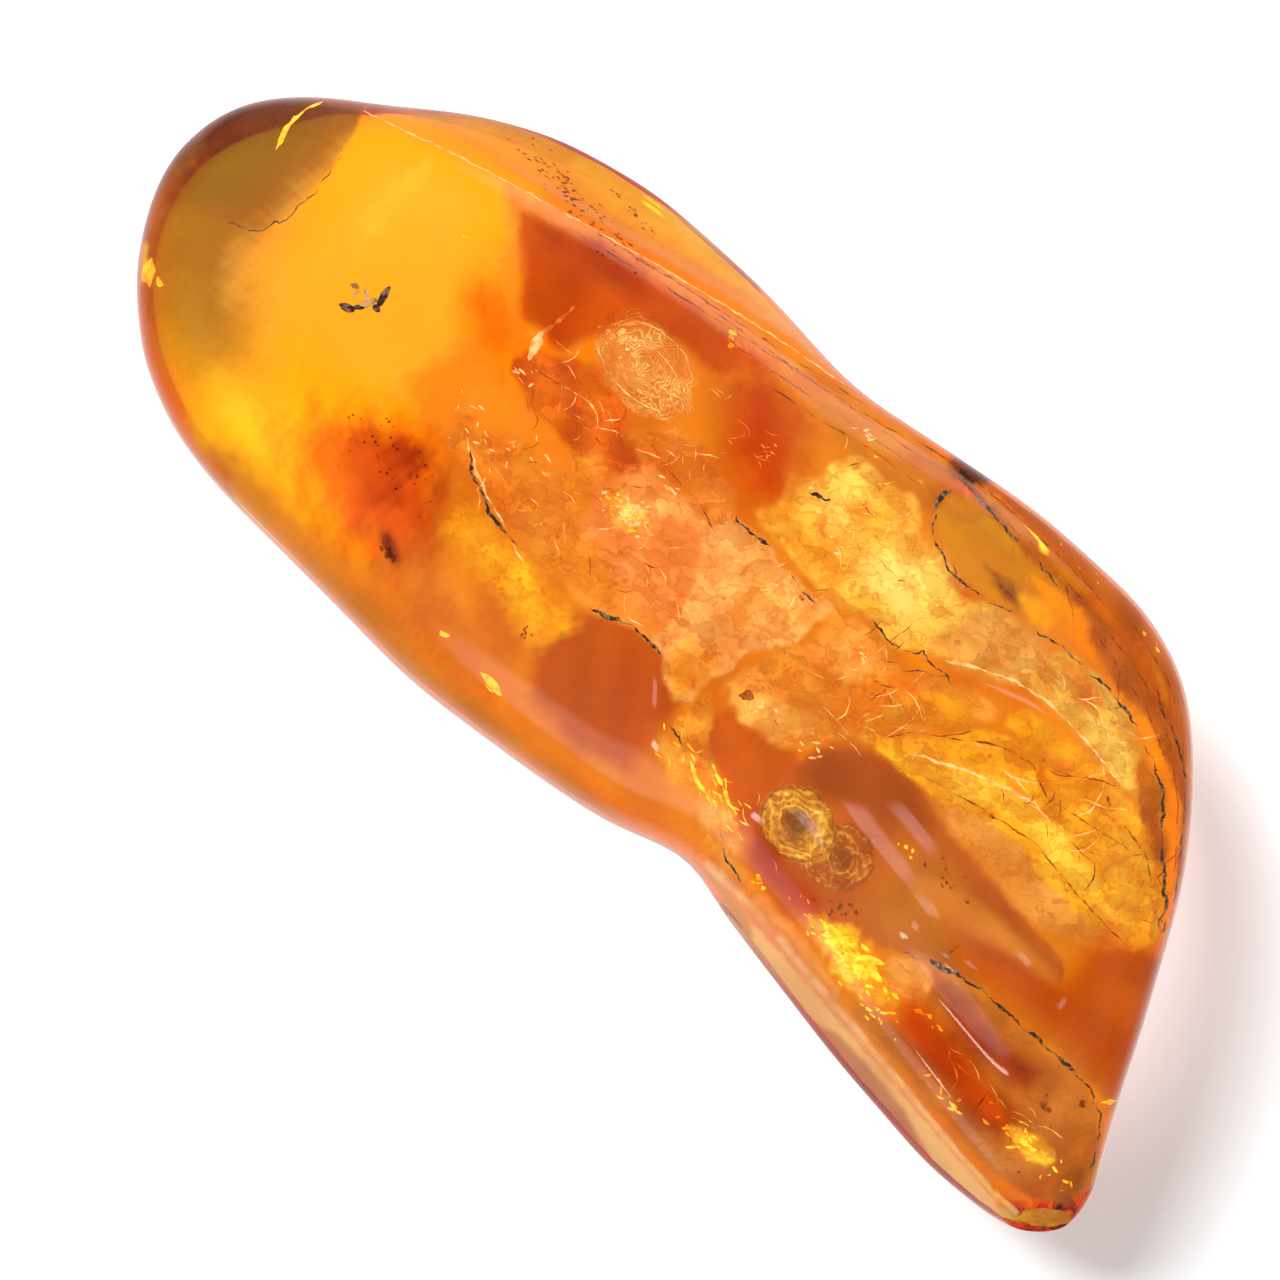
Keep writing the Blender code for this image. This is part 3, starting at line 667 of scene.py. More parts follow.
        (18.4, -1.8), (15.4, -2.3), (14.4, -2.0), (16.8, -1.0), (18.2, 0.0), (18.0, 1.2)),
        0.25, 0.12, (178, 82, 6), (206, 108, 18), 0.8, 0.78),
    "tongue": (((9.8, 1.0), (12.0, 2.2), (15.0, 2.6), (17.8, 2.6), (18.3, 2.2), (17.2, 1.4), (15.6, 0.7),
        (12.6, 0.7), (10.6, 0.7)), 0.25, 0.12, (206, 122, 40), (238, 166, 84), 0.9, 0.88),
    "leaf_left": (((6.3, 1.0), (6.8, 0.3), (7.4, 0.8), (7.2, 1.8), (8.0, 2.4), (9.1, 3.7), (8.4, 4.0),
        (7.4, 3.6), (6.6, 2.6)), 0.12, 0.1, (208, 120, 12), (238, 162, 26), 0.6, 0.92),
    "leaf": (((7.2, 0.5), (7.5, 1.5), (8.4, 2.4), (9.2, 3.7), (10.2, 4.4), (11.4, 4.7), (11.8, 4.0),
        (13.0, 4.2), (14.0, 5.0), (16.0, 5.2), (17.4, 4.9), (18.5, 4.2), (19.0, 3.3), (18.6, 2.5),
        (17.2, 2.3), (15.0, 2.0), (13.0, 2.2), (11.2, 1.6), (9.6, 0.9), (8.6, 0.8)),
        0.1, 0.12, (226, 144, 16), (250, 182, 34), 1.0, 0.95),
    "leaf_light": (((8.0, 1.2), (9.6, 2.2), (11.4, 3.1), (12.4, 3.4), (15.0, 3.4), (17.4, 3.0),
        (15.0, 2.5), (12.4, 2.6), (10.0, 1.4)), 0.25, 0.2, (240, 172, 36), (255, 206, 76), 0.8, 0.95),
    "leaf_bright": (((15.4, 3.6), (16.0, 4.8), (17.4, 4.7), (18.4, 3.9), (17.6, 3.2), (16.2, 3.2)),
        0.3, 0.2, (212, 130, 8), (238, 168, 26), 0.5, 0.95),
    "upper_yellow": (((9.5, 4.4), (9.7, 5.4), (12.0, 5.9), (14.8, 6.0), (16.4, 5.6), (16.6, 5.2),
        (14.4, 5.2), (13.0, 4.4), (12.0, 4.3), (11.4, 4.9), (10.4, 4.6)),
        0.12, 0.15, (220, 132, 8), (248, 174, 26), 0.6, 0.92),
    "rust_fold": (((11.4, 4.4), (12.6, 4.8), (13.6, 5.6), (12.6, 5.4), (11.2, 5.0)),
        0.15, 0.1, (206, 106, 16), (232, 140, 40), 0.5, 0.9),
    "upper_leaf": (((7.0, 4.7), (8.6, 5.6), (10.4, 6.1), (13.8, 6.0), (14.9, 6.2), (13.9, 6.7),
        (13.5, 7.4), (12.4, 7.9), (10.6, 8.0), (9.4, 7.8), (8.9, 7.2), (9.4, 6.4)),
        0.14, 0.12, (208, 142, 50), (232, 182, 84), 1.1, 0.94),
    "upper_light": (((10.6, 6.3), (12.2, 6.4), (14.2, 6.2), (13.4, 6.9), (12.2, 7.4), (11.4, 7.0)),
        0.35, 0.2, (222, 170, 66), (242, 198, 96), 0.8, 0.95),
    "upper_rust": (((9.4, 7.4), (10.0, 7.8), (11.2, 7.6), (11.6, 7.0), (10.8, 6.8), (9.8, 7.0)),
        0.25, 0.2, (206, 108, 28), (228, 142, 56), 0.5, 0.92),
    "shoulder": (((13.7, 7.3), (15.2, 7.1), (15.9, 6.4), (17.6, 5.0), (16.6, 5.4), (15.2, 5.9),
        (14.0, 6.6)), 0.15, 0.15, (164, 74, 4), (198, 106, 18), 0.5, 0.92),
    "far_layers": (((2.6, 8.9), (5.4, 8.7), (9.0, 9.0), (9.6, 8.3), (13.0, 8.2), (15.6, 7.3), (17.6, 5.6),
        (18.6, 4.7), (16.6, 7.4), (14.2, 9.0), (10.4, 9.6), (6.0, 9.3)),
        0.25, 0.15, (152, 60, 4), (186, 92, 24), 0.6, 0.86),
    "lens": (((2.4, 8.3), (2.4, 7.6), (3.0, 7.0), (3.8, 6.7), (4.8, 6.6), (5.9, 6.8), (7.2, 7.4),
        (7.4, 8.1), (6.4, 8.6), (4.6, 8.8), (3.2, 8.7)),
        0.12, 0.06, (196, 116, 8), (222, 148, 28), 1.2, 0.8),
    "lens_smudge": (((5.0, 7.55), (5.8, 7.75), (6.6, 7.75), (7.2, 7.5), (6.6, 7.2), (5.8, 7.3)),
        0.22, 0.2, (96, 56, 18), (138, 86, 26), 0.4, 0.84),
    "lens_gold": (((6.6, 7.7), (7.4, 8.3), (8.3, 8.2), (8.4, 7.6), (7.6, 7.4)),
        0.25, 0.15, (248, 150, 0), (255, 176, 10), 0.5, 0.85),
    "leaf_cape": (((13.2, -3.8), (13.6, -3.4), (14.3, -2.9), (14.8, -3.0), (15.2, -3.6), (15.4, -4.2),
        (14.6, -4.5), (13.8, -4.6)), 0.15, 0.1, (232, 140, 62), (248, 176, 100), 0.6, 0.9),
    "leaf_film": (((15.2, -2.6), (17.0, -2.1), (20.0, -1.8), (22.0, -1.9), (23.6, -3.2), (24.2, -4.6),
        (23.4, -5.6), (20.6, -5.8), (15.4, -5.8), (14.2, -5.2), (20.4, -4.9), (20.4, -4.3), (15.6, -4.1),
        (15.0, -3.4)), 0.2, 0.15, (166, 78, 8), (202, 114, 34), 0.7, 0.86),
    "leaf_foot": (((13.6, -5.4), (16.0, -5.2), (20.4, -5.0), (22.8, -5.4), (22.0, -5.9), (14.0, -6.0)),
        0.2, 0.12, (164, 80, 22), (194, 112, 48), 0.6, 0.86),
    "gold_band": (((10.1, -5.1), (10.8, -4.6), (11.6, -4.2), (12.8, -3.9), (13.6, -4.4), (14.8, -4.7),
        (14.0, -5.1), (13.2, -5.5), (12.0, -5.5), (11.0, -5.2)),
        0.2, 0.35, (216, 130, 14), (246, 196, 40), 0.1, 0.92),
    "tip_gold": (((20.4, -4.6), (21.2, -4.2), (22.4, -4.0), (22.6, -4.6), (21.6, -4.9), (20.8, -4.9)),
        0.12, 0.2, (232, 150, 10), (255, 200, 50), 0.35, 0.9),
    "foot_glow": (((8.8, -5.6), (11.0, -5.5), (13.0, -5.7), (13.4, -6.0), (8.6, -6.0)),
        0.15, 0.1, (222, 130, 60), (244, 170, 100), 0.6, 0.8),
}


# %% The layer's mesh
FLOW_SPAN = (-24.7, 24.3)        # from and to in x, mm
FLOW_DEPTH = 1.1                 # below the skin, mm
FLOW_GRID = (620, 158)           # points along and across
FLOW_SEED = 500
SIDE_GAP = 0.45                  # from the sheet's sides to the rim, mm
LEAST_DEPTH = 0.2                # nowhere nearer to the skin than this, mm
COVER_LIFT = 0.30                # how much higher a full cover stands, mm
BARE_COLOR = (232, 130, 20)      # where no region lies
# Near the blunt end the cover fades out over END_FADE at the sheet's edge: not at all at x = FADE_FROM,
# and in full from FADE_LENGTH further out.
FADE_FROM, FADE_LENGTH, END_FADE = -13.0, 6.0, 0.5
# The resin over the layer takes some green and blue, so the layer has that much more of both.
MAKE_UP = (0.98, 1.10, 1.25)


def flow_layer(name, material):
    """A sheet under the top skin, on a grid of x by the share of the way from the near to the far rim.

    Its height is the skin's less the depth, plus a lift where the paint covers, plus two waves.
    """
    rows, columns = FLOW_GRID
    x = np.linspace(*FLOW_SPAN, rows)
    along = np.arccos(-2.0 * x / LENGTH)
    near_y, far_y = rim(-along)[0] + SIDE_GAP, rim(along)[0] - SIDE_GAP
    across = np.linspace(0.0, 1.0, columns)
    y = (near_y[:, None] + (far_y - near_y)[:, None] * across).ravel()
    x = np.repeat(x, columns)
    color, cover = paint(FLOWS, x, y, FLOW_SEED, BARE_COLOR)
    room = np.minimum(y - np.repeat(near_y, columns), np.repeat(far_y, columns) - y)
    room = np.minimum(room, x - FLOW_SPAN[0])
    at_end = np.clip((FADE_FROM - x) / FADE_LENGTH, 0.0, 1.0)
    cover = cover * (1.0 - at_end * (1.0 - np.clip(room / END_FADE, 0.0, 1.0)))
    ruffle = 0.10 * waves(x, y, 2.4, FLOW_SEED + 1) + 0.04 * waves(x, y, 0.7, FLOW_SEED + 2)
    top = skin_over(x, y)
    z = np.minimum(top - FLOW_DEPTH + COVER_LIFT * cover + ruffle, top - LEAST_DEPTH)
    faces = grid_faces(rows, columns, False).reshape(-1, 4)[:, ::-1]
    piece = make_mesh(name, np.stack([x, y, z], 1), faces.tolist(), material)
    keep_paint(piece, color * MAKE_UP, cover)
    return piece


# %% [markdown]
# ## The flow's finish
#
# Up close the cloudy layer is made of flakes: small shell-shaped splits drawn out along the flow, each
# with its own shine, with painted shade in the creases at its edges, and with crinkled pale lines over
# them. The light that wanders about inside it makes it glow a little. So the painted colour is shaded by
# a noise and by a cell pattern whose coordinates are stretched along the flow and pushed about, the
# creases along the cells' edges are darkened as painted shade, pale lines follow a ridged noise, and the
# cover comes and goes with the first noise. Smooth parts keep only a little of this. Shade turns the
# colour browner, not just darker, as depth does in amber. A weak emission stands for the glow.

# %% Flaky finish
FLOW_TURN = 0.5                          # direction of the flow, in radians
FLOW_STRETCH = (1.9, 0.9, 1.0)           # how much longer a flake is along the flow than across it
SHADE_TINT = (0.70, 0.42, 0.22, 1.0)     # what full shade leaves of the colour
CREASE_SHADE = (0.72, 0.38, 0.16, 1.0)    # what the painted shade in the darkest crease leaves of the colour
CRINKLE_LIGHT = (0.50, 0.36, 0.14, 1.0)  # what the palest crinkle adds to it
FLAKES_PER_MM = 1.6
FLOW_GLOW = 0.52


def flow_coordinates(tree, where):
    """Coordinates for the flakes: turned and stretched along the flow, plus a random push up to 2 mm."""
    slanted = add_node(tree, "Mapping", {"vector_type": "TEXTURE"}, Vector=where,
                       Rotation=(0.0, 0.0, FLOW_TURN), Scale=FLOW_STRETCH).outputs["Vector"]
    push = add_node(tree, "TexNoise", Vector=where, Scale=0.8, Detail=4.0, Roughness=0.6)
    push = vector_math(tree, "SCALE", push.outputs["Color"], Scale=2.0)
    return vector_math(tree, "ADD", slanted, _1=push)


def flaky(name):
    """Painted colour, shaded and lined as flakes, with the paint's cover as opacity.

    Shade is (1 + spread * noise) * (1 + a tone for each cell). Above 1 it scales the colour, and below
    1 it multiplies it by SHADE_TINT. Cells, creases and noise grow with the cover, from smooth to flaky.
    """
    material, tree, shader = new_material(name)
    where = millimetres(tree, 3.0)
    paint_node = add_node(tree, "Attribute", {"attribute_name": "paint"})
    color, cover = paint_node.outputs["Color"], paint_node.outputs["Alpha"]
    texture = step(tree, cover, 0.8, 0.92)
    bent = flow_coordinates(tree, where)

    fine = noise(tree, where, 0.9, 6.0, 0.58, 0.5)
    spread = step(tree, texture, 0.0, 1.0, 0.06, 0.18)
    swing = math_node(tree, "MULTIPLY", step(tree, fine, 0.32, 0.68, -1.0, 1.0), spread)
    flakes = add_node(tree, "TexVoronoi", Vector=bent, Scale=FLAKES_PER_MM).outputs["Color"]
    shine = add_node(tree, "SeparateColor", Color=flakes).outputs["Red"]
    cells = math_node(tree, "MULTIPLY", texture, step(tree, shine, 0.0, 1.0, -0.2, 0.2))
    shade = math_node(tree, "MULTIPLY", math_node(tree, "ADD", swing, 1.0),
                      math_node(tree, "ADD", cells, 1.0))
    color = vector_math(tree, "SCALE", color, Scale=math_node(tree, "MAXIMUM", shade, 1.0))
    color = mix_color(tree, "MULTIPLY", step(tree, shade, 0.6, 1.0, 0.8, 0.0), color, SHADE_TINT)

    # The edges of the cells are darkened: painted shade in the creases between the flakes.
    edges = add_node(tree, "TexVoronoi", {"feature": "DISTANCE_TO_EDGE"}, Vector=bent, Scale=FLAKES_PER_MM)
    crease_shade = step(tree, edges.outputs["Distance"], 0.0, 0.08, 0.5, 0.0)
    crease_shade = math_node(tree, "MULTIPLY", texture, crease_shade)
    color = mix_color(tree, "MULTIPLY", crease_shade, color, CREASE_SHADE)
    ridge = add_node(tree, "TexNoise", {"noise_type": "RIDGED_MULTIFRACTAL"}, Vector=bent, Scale=0.55,
                     Detail=5.0, Roughness=0.5, Lacunarity=2.2).outputs["Fac"]
    crinkle = math_node(tree, "MULTIPLY", step(tree, texture, 0.0, 1.0, 0.2, 1.0),
                        step(tree, ridge, 0.95, 1.6, 0.0, 0.7))
    color = mix_color(tree, "ADD", crinkle, color, CRINKLE_LIGHT)

    patchy = math_node(tree, "MULTIPLY", texture, step(tree, fine, 0.3, 0.7, -0.2, 0.2))
    opacity = math_node(tree, "ADD", cover, patchy)
    opacity = math_node(tree, "MULTIPLY", opacity, step(tree, cover, 0.02, 0.3))
    opacity = add_node(tree, "Clamp", Value=opacity).outputs["Result"]
    glow_with(tree, shader, color, FLOW_GLOW)
    tree.links.new(opacity, shader.inputs["Alpha"])
    shader.inputs["Roughness"].default_value = 0.5
    material.cycles.emission_sampling = "NONE"
    return material


flow = flow_layer("flow_layer", flaky("flaky_flow"))
print("flow regions:", len(FLOWS), "faces:", len(flow.data.polygons))

# %% [markdown]
# ## Cracks with dirt in them
#
# Where a flow ends at the polish, or the pebble once split, dust has settled in the crack and shows as
# a thin broken grey-black line. A texture could draw such lines, but they follow the edges of the
# flows, so each is a flattened thread laid along a few chosen points, just under the skin. Its width
# comes and goes with a random wave, and where the wave is low it is as thin as a hair.


# %% Threads
def thread(path, width, depth, seed, breaks=0.3, wander=0.07, sides=6, pace=0.07):
    """Rings of points along a path in plan: middle plus width across and a third of it upward.

    The path is averaged over 0.12 mm to round its corners, and wanders by waves. The half-width is
    scaled by a wave less the breaks, and tapers over 0.35 mm to both ends.
    """
    path = np.array(path, float)
    reach = np.concatenate([[0.0], np.cumsum(np.hypot(*np.diff(path, axis=0).T))])
    s = np.linspace(0.0, reach[-1], max(6, int(reach[-1] / pace)))
    offsets = np.linspace(-2.0, 2.0, 7)
    weights = np.exp(-0.5 * offsets ** 2) / np.exp(-0.5 * offsets ** 2).sum()
    reads = np.clip(s[:, None] + 0.12 * offsets, 0.0, reach[-1])
    x, y = (np.interp(reads, reach, path[:, axis]) @ weights for axis in (0, 1))
    lane = np.zeros_like(s)
    x = x + wander * waves(s, lane, 0.9, seed) + 0.4 * wander * waves(s, lane, 0.25, seed + 1)
    y = y + wander * waves(s, lane, 0.8, seed + 2) + 0.4 * wander * waves(s, lane, 0.22, seed + 3)
    swell = 0.62 + 0.55 * waves(s, lane, 1.3, seed + 4) + 0.35 * waves(s, lane, 0.3, seed + 5)
    taper = np.clip(np.minimum(s, reach[-1] - s) / 0.35, 0.05, 1.0)
    half = 0.58 * width * np.clip(swell - 0.8 * breaks, 0.04, 1.0) * taper
    slope_x, slope_y = np.gradient(x), np.gradient(y)
    length = np.hypot(slope_x, slope_y) + 1e-9
    turn = np.linspace(0.0, 2.0 * math.pi, sides, endpoint=False)
    side, up = half[:, None] * np.cos(turn), (0.35 * half[:, None] + 0.01) * np.sin(turn)
    px = x[:, None] - side * (slope_y / length)[:, None]
    py = y[:, None] + side * (slope_x / length)[:, None]
    return np.stack([px, py, skin_over(px, py) - depth + up], -1)


def threads(lines, seed, apart, wander=0.07):
    """Points and faces of a thread for each line, every one with seeds of its own."""
    return join_tubes([thread(path, width, depth, seed + apart * number, breaks, wander)
                       for number, (path, width, depth, breaks) in enumerate(lines)])


def join_tubes(tubes):
    """Points and faces of many closed tubes, each a grid of rings with a cap at both ends."""
    points, faces, count = [], [], 0
    for rings in tubes:
        rows, sides = rings.shape[:2]
        points.append(rings.reshape(-1, 3))
        faces += (grid_faces(rows, sides, True).reshape(-1, 4) + count).tolist()
        faces.append((np.arange(sides)[::-1] + count).tolist())
        faces.append((np.arange(sides) + (rows - 1) * sides + count).tolist())
        count += rows * sides
    return np.vstack(points), faces


# %% Cracks
# Each crack: its path, x and y in mm; its width and depth in mm; and how broken it is.
CRACKS = (
    (((2.4, 8.5), (2.3, 8.0), (2.45, 7.6), (2.8, 7.2), (3.2, 6.9)), 0.16, 0.16, 0.10),
    (((3.1, 6.95), (3.6, 6.7), (4.4, 6.55), (5.2, 6.6), (6.1, 6.8), (6.7, 7.1), (7.2, 7.3)),
     0.10, 0.16, 0.22),
    (((-2.0, 2.2), (-1.6, 2.0), (-1.1, 2.2), (-0.3, 2.35)), 0.16, 0.14, 0.30),
    (((0.8, 2.3), (1.3, 2.2), (1.8, 2.2), (2.2, 2.4)), 0.09, 0.14, 0.25),
    (((-3.2, -3.9), (-2.6, -3.75), (-2.0, -3.4), (-1.4, -3.1), (-0.7, -3.0), (0.1, -2.95)),
     0.14, 0.14, 0.10),
    (((-9.8, -3.3), (-9.2, -3.7), (-8.6, -3.95), (-7.6, -4.2), (-6.8, -4.3), (-5.7, -4.2)),
     0.12, 0.16, 0.30),
    (((2.2, 9.05), (3.4, 9.0), (4.9, 9.0), (6.3, 9.1), (7.4, 9.1)), 0.10, 0.14, 0.30),
    (((7.7, 7.4), (8.8, 7.7), (9.8, 7.85), (11.2, 8.05), (12.4, 8.0), (13.4, 7.85)), 0.11, 0.14, 0.30),
    (((13.4, 7.8), (14.4, 7.5), (15.2, 7.2), (15.8, 6.6), (16.6, 5.9), (17.6, 5.2), (18.4, 4.6),
      (18.8, 3.9), (19.2, 3.6)), 0.12, 0.14, 0.20),
    (((11.8, 9.4), (12.6, 9.25), (13.2, 9.0), (14.0, 8.85), (14.8, 8.5), (15.6, 8.0), (16.6, 7.1)),
     0.11, 0.12, 0.25),
    (((16.4, 7.2), (17.6, 6.0), (18.6, 5.0), (19.4, 4.2)), 0.08, 0.12, 0.35),
    (((3.8, 3.35), (4.6, 3.3), (5.4, 3.35)), 0.08, 0.16, 0.20),
    (((5.4, 3.4), (5.8, 3.7), (5.9, 4.1), (6.3, 3.85), (6.9, 4.0), (7.6, 4.0)), 0.08, 0.16, 0.30),
    (((5.9, 3.0), (6.4, 3.4), (6.9, 3.9), (7.3, 4.1)), 0.06, 0.16, 0.30),
    (((6.0, -5.3), (6.5, -5.7), (7.2, -6.0), (8.4, -6.1)), 0.07, 0.12, 0.20),
    (((13.4, -3.5), (14.0, -3.0), (14.6, -2.75), (15.6, -2.35)), 0.20, 0.16, 0.15),
    (((15.4, -2.4), (16.4, -2.15), (17.4, -2.05), (18.4, -1.9), (19.4, -1.75), (20.8, -1.6)),
     0.11, 0.14, 0.10),
    (((20.6, -1.6), (21.8, -1.7), (22.6, -2.05), (23.3, -2.75), (23.8, -3.5)), 0.10, 0.14, 0.25),
    (((14.5, -2.7), (14.55, -2.2), (14.6, -1.7)), 0.12, 0.16, 0.15),
    (((1.9, -4.3), (2.8, -4.5), (3.4, -4.45)), 0.06, 0.16, 0.20),
    (((-1.0, 4.6), (-0.6, 4.75), (-0.1, 5.05)), 0.16, 0.16, 0.15),
    (((-20.6, 0.1), (-20.35, -0.6), (-20.15, -1.6), (-20.1, -2.6), (-20.25, -3.6), (-20.6, -4.0),
      (-21.0, -4.3), (-21.6, -4.5)), 0.05, 0.20, 0.15),
)


# %% Grime
def grime(name, dark, pale, share, grain=2.5):
    """Dust packed in resin: dark with paler grains, by a noise that is cut at the given share."""
    material, tree, shader = new_material(name)
    mix = step(tree, noise(tree, millimetres(tree, 9.0), grain, 5.0, 0.7), share - 0.08, share + 0.08)
    # Its colour is also given as a weak emission: painted light, for the light that reaches the dust inside
    # the resin.
    glow_with(tree, shader, mix_color(tree, "MIX", mix, srgb(*dark), srgb(*pale)), 0.45)
    shader.inputs["Roughness"].default_value = 0.8
    material.cycles.emission_sampling = "NONE"
    return material


DARK_GRIME = grime("dark_grime", (46, 36, 30), (156, 128, 104), 0.54, 4.0)
make_mesh("dirt_seams", *threads(CRACKS, 900, 11), DARK_GRIME)
print("cracks:", len(CRACKS))

# %% [markdown]
# ## Pale, rusty and gold threads
#
# A root-like thread and the lit edges of a few splits are pale, the edges of thin layers are rusty, and
# a scratch near the blunt end and a few slivers shine like gold. Two of the pale threads are painted
# highlights: the bright line along the far crest and the pale line along the ridge above the leaf. All
# are the same threads in other finishes. Round the flakes the resin is crazed: it has many short curved
# lines, too many to lay by hand, so seeded draws place them in clusters, each with a direction of its own.

# %% Paths of the threads
# Each thread: its path, x and y in mm; its width and depth in mm; and how broken it is.
PALE_THREADS = (
    # The first thread is a painted highlight: the thin bright line that the polish mirrors along the far
    # crest.
    (((-21.5, 1.6), (-17.7, 3.2), (-14.3, 4.45), (-10.3, 5.9), (-6.0, 7.3), (-2.7, 8.2)), 0.07, 0.14, 0.0),
    (((-11.15, 2.7), (-11.1, 2.0), (-11.15, 1.2), (-10.9, 0.6), (-10.7, 0.2)), 0.34, 0.35, 0.0),
    # This thread is a painted highlight too: the pale line that the light leaves along the ridge above the
    # leaf.
    (((6.6, 4.3), (7.6, 5.0), (8.8, 5.7), (10.2, 6.1), (12.0, 6.2), (14.0, 6.15)), 0.10, 0.30, 0.1),
    (((-10.2, -3.1), (-9.2, -3.55), (-8.0, -3.95), (-6.8, -4.15)), 0.10, 0.2, 0.2),
    (((8.3, 1.4), (9.6, 2.2), (11.2, 3.0), (12.6, 3.5)), 0.12, 0.5, 0.1),
    (((-9.9, 3.0), (-9.6, 3.8), (-8.6, 4.4), (-7.4, 4.5), (-6.4, 4.1)), 0.055, 0.35, 0.2),
    (((-9.3, 2.9), (-8.8, 3.6), (-7.8, 3.9), (-6.8, 3.7)), 0.045, 0.35, 0.2),
    (((-9.6, 2.4), (-8.6, 2.0), (-7.4, 2.1), (-6.2, 2.6)), 0.055, 0.35, 0.2),
    (((-8.4, 2.6), (-7.6, 3.0), (-6.8, 3.2), (-6.0, 3.0)), 0.045, 0.35, 0.2),
)
RUST_THREADS = (
    (((-12.4, 5.0), (-9.0, 6.1), (-5.0, 7.2), (-1.5, 8.3)), 0.075, 0.3, 0.25),
    (((-9.2, 5.9), (-6.0, 6.7), (-2.8, 7.5), (0.5, 8.3)), 0.053, 0.3, 0.3),
    (((0.2, 8.7), (2.4, 9.3), (4.6, 9.6), (8.0, 9.9), (10.6, 9.9)), 0.060, 0.25, 0.2),
    (((9.4, 9.0), (12.4, 8.7), (14.6, 7.9)), 0.060, 0.3, 0.25),
    (((17.2, 6.4), (18.8, 4.6), (20.2, 2.9), (21.6, 0.6), (22.8, -1.2)), 0.068, 0.25, 0.25),
    (((8.6, 2.6), (10.2, 3.9), (11.4, 4.3), (12.6, 3.9), (14.2, 4.4), (16.0, 4.9)), 0.068, 0.4, 0.2),
    (((7.3, 1.0), (7.8, 1.9), (8.7, 2.7), (9.2, 3.6)), 0.060, 0.4, 0.2),
    (((9.2, 1.2), (11.4, 2.0), (13.6, 2.6), (16.0, 2.5), (18.2, 2.6)), 0.060, 0.4, 0.25),
    (((11.9, 4.6), (12.6, 5.1), (13.4, 5.7), (14.0, 6.0)), 0.068, 0.4, 0.2),
    (((14.2, 5.0), (15.2, 5.3), (16.4, 5.2), (17.4, 4.7)), 0.060, 0.4, 0.2),
    (((-13.0, 4.4), (-9.6, 5.5), (-5.8, 6.6), (-2.4, 7.6), (0.6, 8.6)), 0.05, 0.4, 0.15),
    (((-8.4, 5.6), (-5.2, 6.3), (-2.0, 7.2), (1.4, 8.1)), 0.04, 0.4, 0.15),
    (((-4.8, 5.9), (-2.6, 6.5), (-0.6, 7.2), (1.6, 7.7)), 0.05, 0.4, 0.2),
    (((9.0, 9.4), (11.8, 9.2), (14.0, 8.5), (16.0, 7.2), (18.0, 5.3)), 0.05, 0.3, 0.15),
    (((10.0, 10.2), (12.4, 9.9), (14.4, 8.9), (16.6, 7.0), (18.8, 4.9)), 0.04, 0.3, 0.15),
    (((-5.9, 1.6), (-4.6, 1.4), (-3.2, 1.5), (-1.8, 1.2)), 0.053, 0.4, 0.3),
    (((-10.8, 0.1), (-9.4, 0.5), (-8.0, 0.1), (-6.6, 0.3)), 0.053, 0.4, 0.3),
)
GOLD_THREADS = (
    (((-22.6, 0.8), (-22.7, 0.1), (-22.65, -0.5), (-22.45, -1.1), (-22.2, -1.6)), 0.17, 0.5, 0.15),
    (((4.0, -4.1), (4.8, -4.3), (5.7, -4.6)), 0.30, 0.3, 0.0),
    (((3.4, -4.6), (4.2, -4.9), (5.2, -5.0)), 0.14, 0.3, 0.1),
    (((22.1, -1.7), (22.35, -1.4), (22.6, -1.1)), 0.22, 0.2, 0.0),
)


# %% Crazing
# Each cluster: middle, spread, count, length of a line, and its direction in degrees.
PALE_CRAZES = (
    ((-8.4, 0.4), (2.4, 0.9), 22, 1.2, 15), ((-3.2, -1.0), (2.6, 1.1), 20, 1.0, 20),
    ((0.8, 0.8), (1.4, 2.0), 16, 0.9, 60), ((5.2, 1.0), (2.4, 2.0), 24, 1.5, 45),
    ((0.6, 5.0), (2.2, 1.4), 16, 1.2, 20), ((-6.0, -3.0), (3.6, 0.9), 18, 1.0, -10),
    ((12.6, 3.6), (3.4, 1.2), 12, 1.9, 18), ((5.0, -4.5), (2.2, 0.5), 14, 1.0, -15),
    ((11.8, 6.8), (2.4, 0.8), 14, 1.3, 5), ((-4.4, 4.0), (2.2, 1.2), 12, 0.9, 20),
    ((19.0, -4.2), (3.4, 0.7), 12, 1.2, 0), ((-5.0, 2.4), (1.6, 0.8), 10, 0.9, -30),
)
RUST_CRAZES = (
    ((-8.0, 0.2), (2.8, 1.0), 12, 1.1, 10), ((5.0, 1.6), (2.6, 2.0), 16, 1.2, 45),
    ((2.0, 5.2), (3.0, 1.4), 12, 1.1, 15), ((13.4, 3.8), (3.2, 1.0), 14, 1.4, 20),
    ((11.6, 7.0), (2.4, 0.8), 10, 1.2, 5), ((-5.6, -2.4), (3.4, 1.2), 12, 1.0, 10),
    ((8.0, 9.2), (4.0, 0.4), 14, 1.8, -2), ((16.6, 6.6), (1.6, 1.2), 10, 1.4, -52),
    ((20.4, -3.4), (2.0, 0.8), 8, 1.0, -20),
)
CRAZE_WIDTH = 0.05
CRAZE_DEPTH = 0.5
RIM_GAP = 0.9            # no line comes nearer to the rim than this, mm


def rim_room(x, y):
    """How far x, y lies inside the rim, in mm, measured across the pebble."""
    along = np.arccos(np.clip(-2.0 * x / LENGTH, -1.0, 1.0))
    return np.minimum(y - rim(-along)[0], rim(along)[0] - y)


